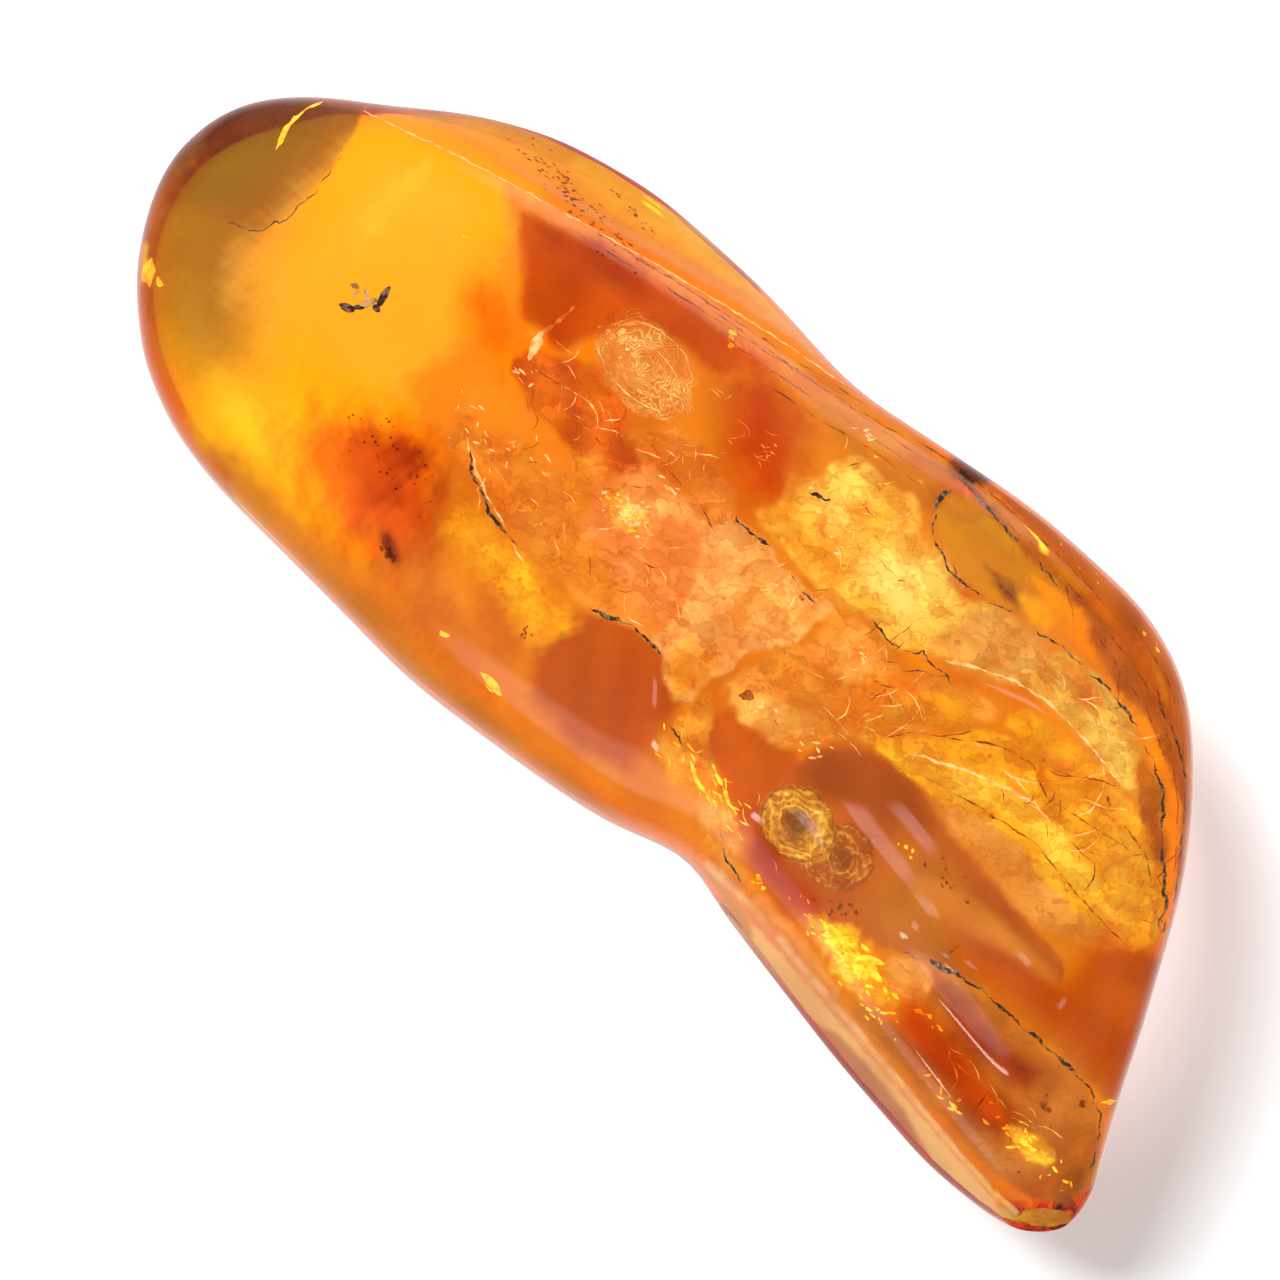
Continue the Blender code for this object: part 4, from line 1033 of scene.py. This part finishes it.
def crazes(clusters, seed):
    """Curved lines for thread: each starts in its cluster and turns steadily, its heading plus bend * s.

    Lines that come near the rim are left out.
    """
    rng = np.random.default_rng(seed)
    lines = []
    for middle, spread, count, length, turn in clusters:
        for start in rng.normal(middle, 0.6 * np.array(spread), (count, 2)):
            s = np.linspace(0.0, 1.0, 9)
            heading = math.radians(turn) + rng.normal(0.0, 0.45) + rng.normal(0.0, 1.0) * s
            pace = length * rng.uniform(0.4, 1.1) / 8.0
            path = start + np.stack([np.cumsum(np.cos(heading)), np.cumsum(np.sin(heading))], 1) * pace
            if rim_room(*path.T).min() > RIM_GAP:
                lines.append((path, CRAZE_WIDTH * rng.uniform(0.6, 1.3), CRAZE_DEPTH, 0.2))
    return lines


# %% Glinting finish and the threads
def glint(name, dark, light, glow, grain=3.0):
    """A split that catches light: two tones by a noise, with a glow for the light gathered in it."""
    material, tree, shader = new_material(name)
    mix = step(tree, noise(tree, millimetres(tree, 5.0), grain, 4.0, 0.6), 0.35, 0.65)
    glow_with(tree, shader, mix_color(tree, "MIX", mix, srgb(*dark), srgb(*light)), glow)
    shader.inputs["Roughness"].default_value = 0.35
    material.cycles.emission_sampling = "NONE"
    return material


PALE_GLINT = glint("pale_glint", (226, 160, 96), (255, 216, 160), 0.8)
GOLD_GLINT = glint("gold_glint", (240, 160, 10), (255, 222, 70), 1.0)
RUST_GRIME = grime("rust_grime", (128, 62, 10), (190, 104, 26), 0.5)
for name, lines, finish in (
    ("pale_threads", [*PALE_THREADS, *crazes(PALE_CRAZES, 21)], PALE_GLINT),
    ("gold_threads", GOLD_THREADS, GOLD_GLINT),
    ("rust_threads", [*RUST_THREADS, *crazes(RUST_CRAZES, 22)], RUST_GRIME),
):
    make_mesh(name, *threads(lines, 1300, 7, 0.03), finish)
    print(name, len(lines))

# %% [markdown]
# ## Flakes and specks
#
# Tiny splits flash gold or cream where they face the light, and dark crumbs of bark lie between them.
# There are too many to place by hand, so each cluster has a middle, a spread and a count, and arrays
# make its flakes: a ring of seven points, uneven, tilted, with a point above and one below. Flakes that
# come near the rim are left out and corners are held under the skin, so none pokes through the polish.


# %% Flakes of a cluster
CORNERS = 7              # points round a flake
FLAKE_THICKNESS = 0.12   # half of it, as a share of the flake's size
SKIN_GAP = 0.12          # no corner comes nearer to the skin than this, mm
RIM_MARGIN = 0.45        # nor to the rim
END_MARGIN = 24.2        # nor further out than this in x, mm


def flakes(clusters, seed):
    """Points and faces of lens-shaped flakes: rim = middle + size * (cos, sin), tilted, two apexes.

    A cluster's flakes are spread by a bell curve and lie turned about its own direction.
    """
    rng = np.random.default_rng(seed)
    rims, tops = [], []
    for middle, spread, count, size, stretch, turn, depth in clusters:
        x, y = (np.array(middle)[:, None] + rng.normal(0.0, 0.5, (2, count)) * np.array(spread)[:, None])
        scale = size * rng.uniform(0.35, 1.0, count)
        heading = math.radians(turn) + rng.normal(0.0, 0.45, count)
        angle = np.linspace(0.0, 2.0 * math.pi, CORNERS, endpoint=False)
        angle = angle + rng.uniform(-0.3, 0.3, (count, CORNERS))
        reach = scale[:, None] * rng.uniform(0.6, 1.0, (count, CORNERS))
        long, wide = stretch * reach * np.cos(angle), reach * np.sin(angle)
        cos, sin = np.cos(heading)[:, None], np.sin(heading)[:, None]
        px = x[:, None] + long * cos - wide * sin
        py = y[:, None] + long * sin + wide * cos
        tilt = rng.normal(0.0, 0.25, (2, count, 1))
        floor = skin_over(x, y) - depth * rng.uniform(0.7, 1.3, count)
        pz = floor[:, None] + tilt[0] * (px - x[:, None]) + tilt[1] * (py - y[:, None])
        pz = np.minimum(pz, skin_over(px, py) - SKIN_GAP)
        rims.append(np.stack([px, py, pz], -1))
        lift = FLAKE_THICKNESS * scale
        tops.append(np.stack([np.stack([x, y, floor + lift], -1), np.stack([x, y, floor - lift], -1)], 1))
    rims, tops = np.concatenate(rims), np.concatenate(tops)
    in_length = np.abs(rims[..., 0]).max(1) < END_MARGIN
    kept = in_length & (rim_room(rims[..., 0], rims[..., 1]).min(1) > RIM_MARGIN)
    rims, tops = rims[kept], tops[kept]
    first = (CORNERS + 2) * np.arange(len(rims))[:, None]
    ring, after = first + np.arange(CORNERS), first + (np.arange(CORNERS) + 1) % CORNERS
    top, low = (np.broadcast_to(first + CORNERS + apex, ring.shape) for apex in (0, 1))
    faces = np.concatenate([np.stack([ring, after, top], -1), np.stack([after, ring, low], -1)])
    return np.concatenate([rims, tops], 1).reshape(-1, 3), faces.reshape(-1, 3).tolist()


# %% Clusters of flakes
# Each cluster: middle, spread, count, size of a flake, stretch, direction in degrees, and depth.
GOLD_FLAKES = (
    ((12.8, -4.9), (2.2, 0.55), 46, 0.09, 3.2, 14, 0.6),
    ((21.7, -4.5), (1.5, 0.5), 40, 0.08, 3.0, 20, 0.6), ((10.6, -5.0), (1.2, 0.5), 14, 0.07, 2.4, 0, 0.5),
    ((18.4, -5.5), (1.2, 0.2), 14, 0.07, 3.0, 10, 0.5),
    ((-3.1, -8.0), (0.25, 0.06), 3, 0.26, 2.6, -4, 0.8), ((-5.6, -8.1), (0.3, 0.1), 2, 0.16, 1.8, 0, 0.8),
    ((-6.6, 6.0), (0.5, 0.3), 5, 0.2, 1.3, 50, 0.6), ((10.9, -0.85), (0.3, 0.2), 4, 0.1, 1.4, 0, 0.5),
    ((8.4, -5.5), (0.7, 0.2), 8, 0.1, 1.4, 60, 0.4), ((-15.6, 1.35), (0.3, 0.1), 2, 0.1, 2.6, 20, 0.6),
    ((5.0, -4.7), (2.6, 0.7), 30, 0.05, 6.0, -14, 0.4), ((10.5, 10.6), (2.6, 0.5), 22, 0.13, 1.4, 0, 0.4),
    ((7.2, 10.2), (2.2, 0.3), 7, 0.08, 1.4, 0, 0.4), ((15.9, -4.3), (0.8, 0.2), 8, 0.09, 2.4, 10, 0.5),
    ((14.6, -5.5), (1.0, 0.3), 10, 0.08, 2.4, 0, 0.4), ((-4.4, -0.6), (0.9, 0.5), 26, 0.08, 2.0, 40, 0.5),
    ((12.2, -4.7), (1.5, 0.4), 16, 0.22, 2.6, 24, 0.5),
    # This cluster is a painted glint: the yellow spark where the rim at the blunt end catches the light.
    ((-22.0, -7.7), (0.7, 0.15), 9, 0.3, 2.0, -48, 0.5),
)
CREAM_FLAKES = (
    ((-4.5, -0.55), (0.8, 0.6), 60, 0.08, 2.0, 40, 0.5), ((-2.8, 4.4), (0.7, 0.3), 8, 0.07, 3.0, 20, 0.5),
    ((-9.4, 3.1), (0.7, 0.5), 14, 0.08, 2.0, 40, 0.4),
    ((-10.2, -2.6), (2.0, 0.8), 14, 0.05, 4.0, -20, 0.5),
    ((-8.4, -1.7), (1.8, 0.6), 9, 0.07, 4.0, 10, 0.5), ((4.6, 2.4), (0.6, 0.3), 5, 0.07, 3.0, 20, 0.4),
    ((-4.6, 1.1), (1.2, 0.2), 6, 0.06, 4.0, 15, 0.5), ((3.6, -1.5), (0.6, 0.3), 8, 0.08, 2.0, 20, 0.3),
    ((-1.2, 7.4), (0.6, 0.3), 6, 0.07, 3.0, 40, 0.5), ((-10.4, -0.1), (0.5, 0.4), 6, 0.07, 3.0, 30, 0.5),
    ((0.2, 4.6), (1.2, 0.9), 10, 0.08, 1.8, 30, 0.5), ((5.6, -1.2), (1.4, 0.5), 8, 0.06, 3.0, 20, 0.5),
)
DARK_SPECKS = (
    ((-9.0, -7.75), (0.5, 0.15), 12, 0.11, 1.6, -20, 0.6),
    ((-11.2, -5.6), (2.2, 1.3), 44, 0.062, 1.3, 0, 1.5),
    ((2.2, 9.15), (0.7, 0.14), 16, 0.16, 1.6, 0, 0.4), ((6.1, 7.5), (0.8, 0.2), 8, 0.1, 2.0, -25, 0.5),
    ((10.8, -4.2), (0.7, 0.4), 16, 0.12, 1.4, 20, 0.4), ((3.0, -1.7), (0.3, 0.15), 6, 0.2, 1.4, 20, 0.3),
    ((-14.2, 5.2), (3.4, 0.5), 100, 0.1, 1.4, 20, 0.6),
    ((-12.2, 6.4), (1.4, 0.15), 26, 0.08, 1.4, 0, 0.6),
    ((-3.6, -5.9), (0.7, 0.4), 9, 0.07, 1.4, -30, 0.6), ((1.7, 2.0), (0.12, 0.12), 3, 0.09, 1.0, 0, 0.2),
    ((14.1, 5.5), (0.2, 0.1), 3, 0.12, 1.8, -30, 0.3), ((20.8, -3.1), (0.3, 0.25), 6, 0.16, 1.3, 0, 0.5),
    ((22.1, -5.3), (0.25, 0.05), 3, 0.08, 1.6, 0, 0.8), ((12.6, -0.5), (1.0, 0.6), 12, 0.1, 1.6, 30, 0.5),
    ((21.7, -2.2), (0.1, 0.1), 2, 0.16, 1.4, 0, 0.4), ((11.8, 2.0), (0.12, 0.08), 3, 0.12, 1.3, 0, 0.3),
    ((18.9, 4.1), (0.3, 0.4), 8, 0.12, 1.8, -60, 0.3),
)
GOLD_SEED, CREAM_SEED, DARK_SEED = 58, 52, 57
for name, clusters, seed, finish in (
    ("gold_flakes", GOLD_FLAKES, GOLD_SEED, GOLD_GLINT),
    ("cream_flakes", CREAM_FLAKES, CREAM_SEED, PALE_GLINT),
    ("dark_specks", DARK_SPECKS, DARK_SEED, RUST_GRIME),
):
    made = make_mesh(name, *flakes(clusters, seed), finish, smooth=False)
    print(name, len(made.data.polygons) // (2 * CORNERS))

# %% [markdown]
# ## Ringed discs
#
# Resin cracks round a bubble in a flat, shell-shaped disc with rings, as in heated amber. Three show
# here: a pale one under the far crest, and a gold one by the near crest with a darker one beside it. A
# disc is a grid of (radius, turn): the radius is bent by waves, and rings ripple its height. Its finish
# reads the radius of each vertex, kept as an attribute, so that its rings run true to its bent outline.

# %% Ringed discs
def disc(name, middle, half, turn, depth, dome, rings, material, seed, around=160, steps=60):
    """A shell-shaped disc, r from 0 to 1: height = skin - depth + dome * (1 - r^2) + ripple.

    The ripple is 0.03 mm times the cosine of rings * r, with its phase swung by the turn.
    """
    radius = np.linspace(0.02, 1.0, steps)[:, None]
    angle = np.linspace(0.0, 2.0 * math.pi, around, endpoint=False)[None, :]
    bend = 1.0 + 0.06 * waves(np.cos(angle) * 3.0, np.sin(angle) * 3.0, 2.0, seed)
    bend = bend + 0.03 * waves(np.cos(angle) * 6.0, np.sin(angle) * 6.0, 1.0, seed + 1)
    long, wide = half[0] * radius * bend * np.cos(angle), half[1] * radius * bend * np.sin(angle)
    heading = math.radians(turn)
    x = middle[0] + long * math.cos(heading) - wide * math.sin(heading)
    y = middle[1] + long * math.sin(heading) + wide * math.cos(heading)
    ripple = 0.03 * np.cos(rings * radius + 1.5 * np.sin(angle + seed))
    z = skin_over(x, y) - depth + dome * (1.0 - radius ** 2) + ripple
    points = np.stack([x, y, z], -1).reshape(-1, 3)
    faces = grid_faces(steps, around, True).reshape(-1, 4).tolist() + [list(range(around))[::-1]]
    piece = make_mesh(name, points, faces, material)
    layer = piece.data.attributes.new("ring", "FLOAT", "POINT")
    layer.data.foreach_set("value", np.repeat(radius.ravel(), around))
    return piece


# %% Finish of the discs
CORE_TINT = (0.16, 0.09, 0.04, 1.0)      # what a full dark core leaves of the colour
EDGE_TINT = (0.45, 0.22, 0.10, 1.0)      # what the line round a disc leaves of it


def ringed(name, tones, cover, core, ring_count, grain=2.2, lines=0.16):
    """A disc's finish: tones by noise and by the sine of its radius, with a dark core and edge line.

    The sine's phase is bent by a slow noise, and its lines come and go. The cover falls to a third at
    the rim, so that the disc runs out into the clear resin.
    """
    material, tree, shader = new_material(name)
    where = millimetres(tree, 12.0)
    radius = add_node(tree, "Attribute", {"attribute_name": "ring"}).outputs["Fac"]
    swirl = noise(tree, where, 0.55, 3.0, 0.5, 1.0)
    bent = math_node(tree, "ADD", radius, math_node(tree, "MULTIPLY", swirl, 1.4))
    wave = math_node(tree, "SINE", math_node(tree, "MULTIPLY", bent, ring_count))
    broken = step(tree, noise(tree, where, 0.9, 2.0), 0.35, 0.6, 0.3)
    line = math_node(tree, "MULTIPLY", step(tree, wave, -0.2, 1.0), broken)
    fine = noise(tree, where, grain, 4.0, 0.6, 1.0)
    tone = math_node(tree, "ADD", math_node(tree, "MULTIPLY", fine, 0.95),
                     math_node(tree, "MULTIPLY", line, lines))
    color = color_ramp(tree, tone, [(place, srgb(*light)) for place, light in tones])

    ragged = math_node(tree, "ADD", radius, math_node(tree, "MULTIPLY", swirl, 0.8))
    color = mix_color(tree, "MULTIPLY", step(tree, ragged, 0.55, 0.85, core, 0.0), color, CORE_TINT)
    edge = math_node(tree, "MULTIPLY", step(tree, radius, 0.86, 0.93),
                     step(tree, radius, 0.93, 1.0, 1.0, 0.2))
    color = mix_color(tree, "MULTIPLY", math_node(tree, "MULTIPLY", edge, core), color, EDGE_TINT)

    film = math_node(tree, "ADD", fine, math_node(tree, "MULTIPLY", line, 0.3))
    opacity = step(tree, film, 0.3, 0.8, 0.6 * cover, cover)
    opacity = math_node(tree, "MULTIPLY", opacity, step(tree, radius, 0.9, 1.0, 1.0, 0.35))
    # A weak emission of the same colour is painted light, for the light gathered in the disc.
    glow_with(tree, shader, color, 0.6)
    tree.links.new(opacity, shader.inputs["Alpha"])
    shader.inputs["Roughness"].default_value = 0.35
    material.cycles.emission_sampling = "NONE"
    return material


# Tones of each film: the value of the pattern, 0 to 1, and its colour there.
SHELL_TONES = ((0.3, (188, 112, 52)), (0.5, (210, 144, 80)), (0.68, (226, 168, 100)),
               (0.8, (255, 222, 150)))
GOLD_TONES = ((0.3, (150, 92, 20)), (0.5, (204, 142, 40)), (0.66, (236, 180, 64)), (0.8, (255, 226, 120)))
RING_TONES = ((0.3, (128, 60, 24)), (0.5, (172, 96, 40)), (0.66, (214, 148, 66)), (0.8, (250, 208, 110)))
SHELL_FILM = ringed("shell_film", SHELL_TONES, 0.72, 0.0, 62.0, grain=1.0, lines=0.3)
GOLD_FILM = ringed("gold_film", GOLD_TONES, 1.0, 0.85, 30.0)
RING_FILM = ringed("ring_film", RING_TONES, 0.8, 0.6, 26.0)
disc("shell_disc", (-7.95, 3.2), (2.3, 1.42), -4, 0.75, 0.25, 30.0, SHELL_FILM, 61)
disc("ring_disc", (9.4, -2.9), (1.35, 1.2), 20, 0.62, 0.15, 14.0, RING_FILM, 63)
disc("gold_disc", (7.6, -3.2), (1.5, 1.25), 0, 0.45, 0.2, 18.0, GOLD_FILM, 62)

# %% [markdown]
# ## The chip, and a crumb in the clear end
#
# At the tip a chip has been struck off, and a thin cloudy film stands behind its flat face, as where a
# blow loosens the resin. A speck of bark hangs in the clear end: dark lumps at both ends and pale ones
# between, each an uneven ellipsoid, because at this size a form with any more detail would not show.

# %% Film behind the chip
FILM_DEPTH = 0.18            # behind the chip's face, mm
FILM_RISE = 0.1              # its middle stands this far up the face
FILM_HALF = (1.0, 0.7)       # half-sizes along the face and up it


def chip_film(count=40, rings=6):
    """A thin cloudy oval just behind the chip's face: middle + r * (along the face, up the face)."""
    normal = np.array(CHIP_NORMAL) / np.linalg.norm(CHIP_NORMAL)
    level = np.cross([0.0, 0.0, 1.0], normal)
    level = level / np.linalg.norm(level)
    rise = np.cross(normal, level)
    turn = np.linspace(0.0, 2.0 * math.pi, count, endpoint=False)[None, :]
    radius = np.linspace(0.05, 1.0, rings)[:, None]
    radius = radius * (1.0 + 0.1 * waves(3.0 * np.cos(turn), 3.0 * np.sin(turn), 2.0, 77))
    middle = np.array(CHIP_POINT) - FILM_DEPTH * normal + FILM_RISE * rise
    along, up = FILM_HALF[0] * radius * np.cos(turn), FILM_HALF[1] * radius * np.sin(turn)
    points = middle + along[..., None] * level + up[..., None] * rise
    faces = grid_faces(rings, count, True).reshape(-1, 4).tolist() + [list(range(count))[::-1]]
    gold = glint("chip_gold", (198, 120, 16), (232, 170, 40), 0.6, 1.5)
    return make_mesh("chip_film", points, faces, gold)


film = chip_film()
print("chip film faces:", len(film.data.polygons))


# %% Crumbs
def crumbs(lumps, seed, bands=11, around=14):
    """Rings of points of small lumps: an ellipsoid by latitude and turn, its radius bent by waves."""
    tubes = []
    lat = np.linspace(-0.5 * math.pi, 0.5 * math.pi, bands)[1:-1, None]
    lon = np.linspace(0.0, 2.0 * math.pi, around, endpoint=False)[None, :]
    for number, (middle, half, turn, depth) in enumerate(lumps):
        bend = waves(2.0 * np.cos(lon) * np.cos(lat), 2.0 * np.sin(lon) + 2.0 * lat, 1.6, seed + number)
        reach = (1.0 + 0.22 * bend) * np.cos(lat)
        long, wide = half[0] * reach * np.cos(lon), half[1] * reach * np.sin(lon)
        heading = math.radians(turn)
        x = middle[0] + long * math.cos(heading) - wide * math.sin(heading)
        y = middle[1] + long * math.sin(heading) + wide * math.cos(heading)
        z = skin_over(np.array(middle[0]), np.array(middle[1])) - depth + 0.5 * min(half) * np.sin(lat)
        tubes.append(np.stack([x, y, np.broadcast_to(z, x.shape)], -1))
    return join_tubes(tubes)


# Each lump: its middle, x and y in mm; its half-sizes; its direction in degrees; and its depth.
CRUMB_DARK = (((-15.75, -2.1), (0.40, 0.13), 110, 0.25), ((-15.6, -2.55), (0.16, 0.11), 0, 0.25),
              ((-16.3, -3.3), (0.28, 0.14), 25, 0.25), ((-16.05, -3.0), (0.24, 0.09), 50, 0.25))
CRUMB_PALE = (((-15.95, -2.7), (0.38, 0.13), 70, 0.3), ((-16.2, -2.5), (0.25, 0.07), 150, 0.3),
              ((-16.7, -2.6), (0.16, 0.10), 20, 0.3), ((-16.45, -2.75), (0.2, 0.05), 100, 0.3))
PALE_GRIME = grime("pale_grime", (170, 120, 74), (226, 186, 140), 0.5)
make_mesh("bark_crumb", *crumbs(CRUMB_DARK, 70), DARK_GRIME)
make_mesh("bark_crumb_pale", *crumbs(CRUMB_PALE, 80), PALE_GRIME)
print("lumps:", len(CRUMB_DARK) + len(CRUMB_PALE))

# %% [markdown]
# ## Light, table and camera
#
# The pebble lies on a white table that is bright by itself, as in a product photograph: the light that
# comes up through the amber is what makes it glow. A clear lens of resin also gathers light on the table
# below it. To trace that would take many more samples, so the table glows more there. The room around is
# given by direction, and differs by the kind of ray. What the polish mirrors is mostly dim, so that the
# inside can be seen. It is bright only from below, which makes steep sides pale, and in five soft boxes,
# which make the veils and the short streaks. What shines through the body is bright. One soft key from
# the left lays the pebble's shade on the table. The camera looks straight down, turned so that the
# pebble lies across the picture, from far enough away to see almost no perspective.

# %% Table, in metres
TABLE_RADIUS = 0.6
TABLE_DROP = 0.00002                   # below the underside, so that the two faces don't meet
TABLE_GLOW = 0.32
GATHERED_GLOW = 1.15                   # under the pebble
GATHER_MIDDLE = (-0.001, 0.0, 0.0)     # of the oval where the light gathers
GATHER_HALF = (0.0245, 0.012, 1.0)


def table():
    """A white disc just below the underside, glowing most under the pebble.

    Its glow is a smooth step of the distance from an oval in plan, measured in the oval's half-sizes.
    """
    bpy.ops.mesh.primitive_circle_add(vertices=96, radius=TABLE_RADIUS, fill_type="NGON",
                                      location=(0.0, 0.0, -TABLE_DROP))
    disc = bpy.context.object
    disc.name = "table"
    bpy.ops.object.transform_apply(location=True)
    material, tree, shader = new_material("white_table")
    shader.inputs["Base Color"].default_value = (0.90, 0.89, 0.90, 1.0)
    shader.inputs["Roughness"].default_value = 0.9
    shader.inputs["Specular IOR Level"].default_value = 0.0
    # The glow is a little pink and the key a little cyan, so the table's shade, where only the glow is left,
    # is painted with the warm tint that light through the amber would give it.
    shader.inputs["Emission Color"].default_value = (1.0, 0.94, 0.93, 1.0)
    place = add_node(tree, "TexCoord").outputs["Object"]
    oval = add_node(tree, "Mapping", {"vector_type": "TEXTURE"}, Vector=place, Location=GATHER_MIDDLE,
                    Scale=GATHER_HALF).outputs["Vector"]
    distance = vector_math(tree, "LENGTH", oval, "Value")
    strength = step(tree, distance, 0.65, 1.15, GATHERED_GLOW, TABLE_GLOW)
    tree.links.new(strength, shader.inputs["Emission Strength"])
    material.cycles.emission_sampling = "NONE"
    disc.data.materials.append(material)
    disc.visible_glossy = False


table()


# %% Lights
# The room's light by the height that it comes from, 0 straight below, 0.5 level and 1 overhead: as the
# table and the camera get it, as the polish mirrors it, and as it comes through the body.
SHOP_STOPS = ((0.5, 0.60), (0.80, 0.50), (0.925, 0.10), (1.0, 0.06))
ROOM_STOPS = ((0.0, 0.95), (0.05, 0.55), (0.15, 0.14), (0.50, 0.10), (0.65, 0.22), (0.80, 0.22),
              (0.925, 0.10), (1.0, 0.05))
INNER_STOPS = ((0.5, 0.95), (0.75, 0.95), (0.925, 0.85), (1.0, 0.80))
# Each soft box: the direction that its light comes from; the cosine of the angle from there at which it
# ends, and the one at which it has its full strength; its reach to either side, as the sine of an angle,
# where 9.0 sets no limit; its strength; and its colour.
SOFT_BOXES = (
    ((-0.29, 0.94, -0.18), 0.93, 0.985, 9.0, 1.0, (1.0, 0.90, 0.92)),
    ((0.28, -0.95, 0.10), 0.95, 0.985, 9.0, 1.1, (1.0, 0.90, 0.92)),
    ((0.27, -0.82, 0.50), 0.9985, 0.9997, 0.04, 8.0, (1.0, 0.96, 0.94)),
    ((0.19, -0.48, 0.86), 0.9850, 0.9960, 0.03, 2.6, (1.0, 0.94, 0.92)),
    ((0.26, 0.34, 0.91), 0.9850, 0.9960, 0.045, 2.2, (1.0, 0.92, 0.94)),
)
KEY_PLACE = (-0.42, 0.01, 0.45)    # metres
KEY_SIZE = 0.42
KEY_POWER = 7.5                    # watts


def box_light(tree, direction, mirrored, way, low, high, wide, strength, color):
    """Light of one soft box: smooth steps of two dot products, for rays that the polish mirrors.

    One product is of the direction and the box's middle, and the other of the direction and the axis
    across the box, the one nearest to X.
    """
    way = np.array(way) / np.linalg.norm(way)
    upright = np.cross(way, (1.0, 0.0, 0.0))
    across = np.cross(upright / np.linalg.norm(upright), way)
    facing = vector_math(tree, "DOT_PRODUCT", direction, "Value", _1=tuple(way))
    beside = vector_math(tree, "DOT_PRODUCT", direction, "Value", _1=tuple(across))
    beside = math_node(tree, "ABSOLUTE", beside)
    share = step(tree, facing, low, high, 0.0, strength)
    share = math_node(tree, "MULTIPLY", share, step(tree, beside, 0.4 * wide, wide, 1.0, 0.0))
    share = math_node(tree, "MULTIPLY", share, mirrored)
    return vector_math(tree, "SCALE", color, Scale=share)


def studio():
    """The world's colour: a ramp of the direction's height for each kind of ray, plus the soft boxes."""
    world = bpy.data.worlds.new("studio")
    bpy.context.scene.world = world
    world.use_nodes = True
    tree = world.node_tree
    direction = add_node(tree, "TexCoord").outputs["Generated"]
    height = add_node(tree, "SeparateXYZ", Vector=direction).outputs["Z"]
    height = add_node(tree, "MapRange", Value=height, _1=-1.0, _2=1.0).outputs["Result"]
    shop, room, inner = (color_ramp(tree, height, [(place, (light,) * 3 + (1.0,)) for place, light in stops])
                         for stops in (SHOP_STOPS, ROOM_STOPS, INNER_STOPS))
    kind = add_node(tree, "LightPath").outputs
    total = mix_color(tree, "MIX", kind["Is Glossy Ray"], shop, room)
    total = mix_color(tree, "MIX", kind["Is Transmission Ray"], total, inner)
    for box in SOFT_BOXES:
        total = vector_math(tree, "ADD", total, _1=box_light(tree, direction, kind["Is Glossy Ray"], *box))
    tree.links.new(total, tree.nodes["Background"].inputs["Color"])
    world.cycles.sampling_method = "NONE"


def key_light():
    """A soft disc of light from the left. The polish doesn't mirror it, and it isn't seen through it."""
    data = bpy.data.lights.new("key", "AREA")
    data.shape = "DISK"
    data.size = KEY_SIZE
    data.energy = KEY_POWER
    data.color = (0.90, 1.0, 1.0)
    key = bpy.data.objects.new("key", data)
    bpy.context.scene.collection.objects.link(key)
    key.location = KEY_PLACE
    key.rotation_euler = (-Vector(KEY_PLACE)).to_track_quat("-Z", "Y").to_euler()
    key.visible_glossy = False
    key.visible_transmission = False


studio()
key_light()

# %% Camera
PICTURE_WIDTH = 45.58          # mm at the height of LOOK_AT that the picture's width takes in
LOOK_AT = (-0.85, -3.2, 7.0)   # mm
CAMERA_DISTANCE = 260.0        # mm above LOOK_AT
CAMERA_TURN = math.radians(49.0)
SENSOR_WIDTH = 36.0

camera_data = bpy.data.cameras.new("camera")
camera_data.sensor_width = SENSOR_WIDTH
camera_data.lens = SENSOR_WIDTH * CAMERA_DISTANCE / PICTURE_WIDTH
camera_data.clip_start = 0.01
camera = bpy.data.objects.new("camera", camera_data)
bpy.context.scene.collection.objects.link(camera)
camera.location = (LOOK_AT[0] * MM, LOOK_AT[1] * MM, (LOOK_AT[2] + CAMERA_DISTANCE) * MM)
camera.rotation_euler = (0.0, 0.0, CAMERA_TURN)
bpy.context.scene.camera = camera
bpy.context.scene.view_settings.view_transform = "Standard"

# %% Light paths
# Light crosses the skin, the flow layer and many flakes, and is thrown back inside the body, so its
# paths are long.
bpy.context.scene.cycles.transparent_max_bounces = 24
bpy.context.scene.cycles.max_bounces = 12
bpy.context.scene.cycles.transmission_bounces = 10
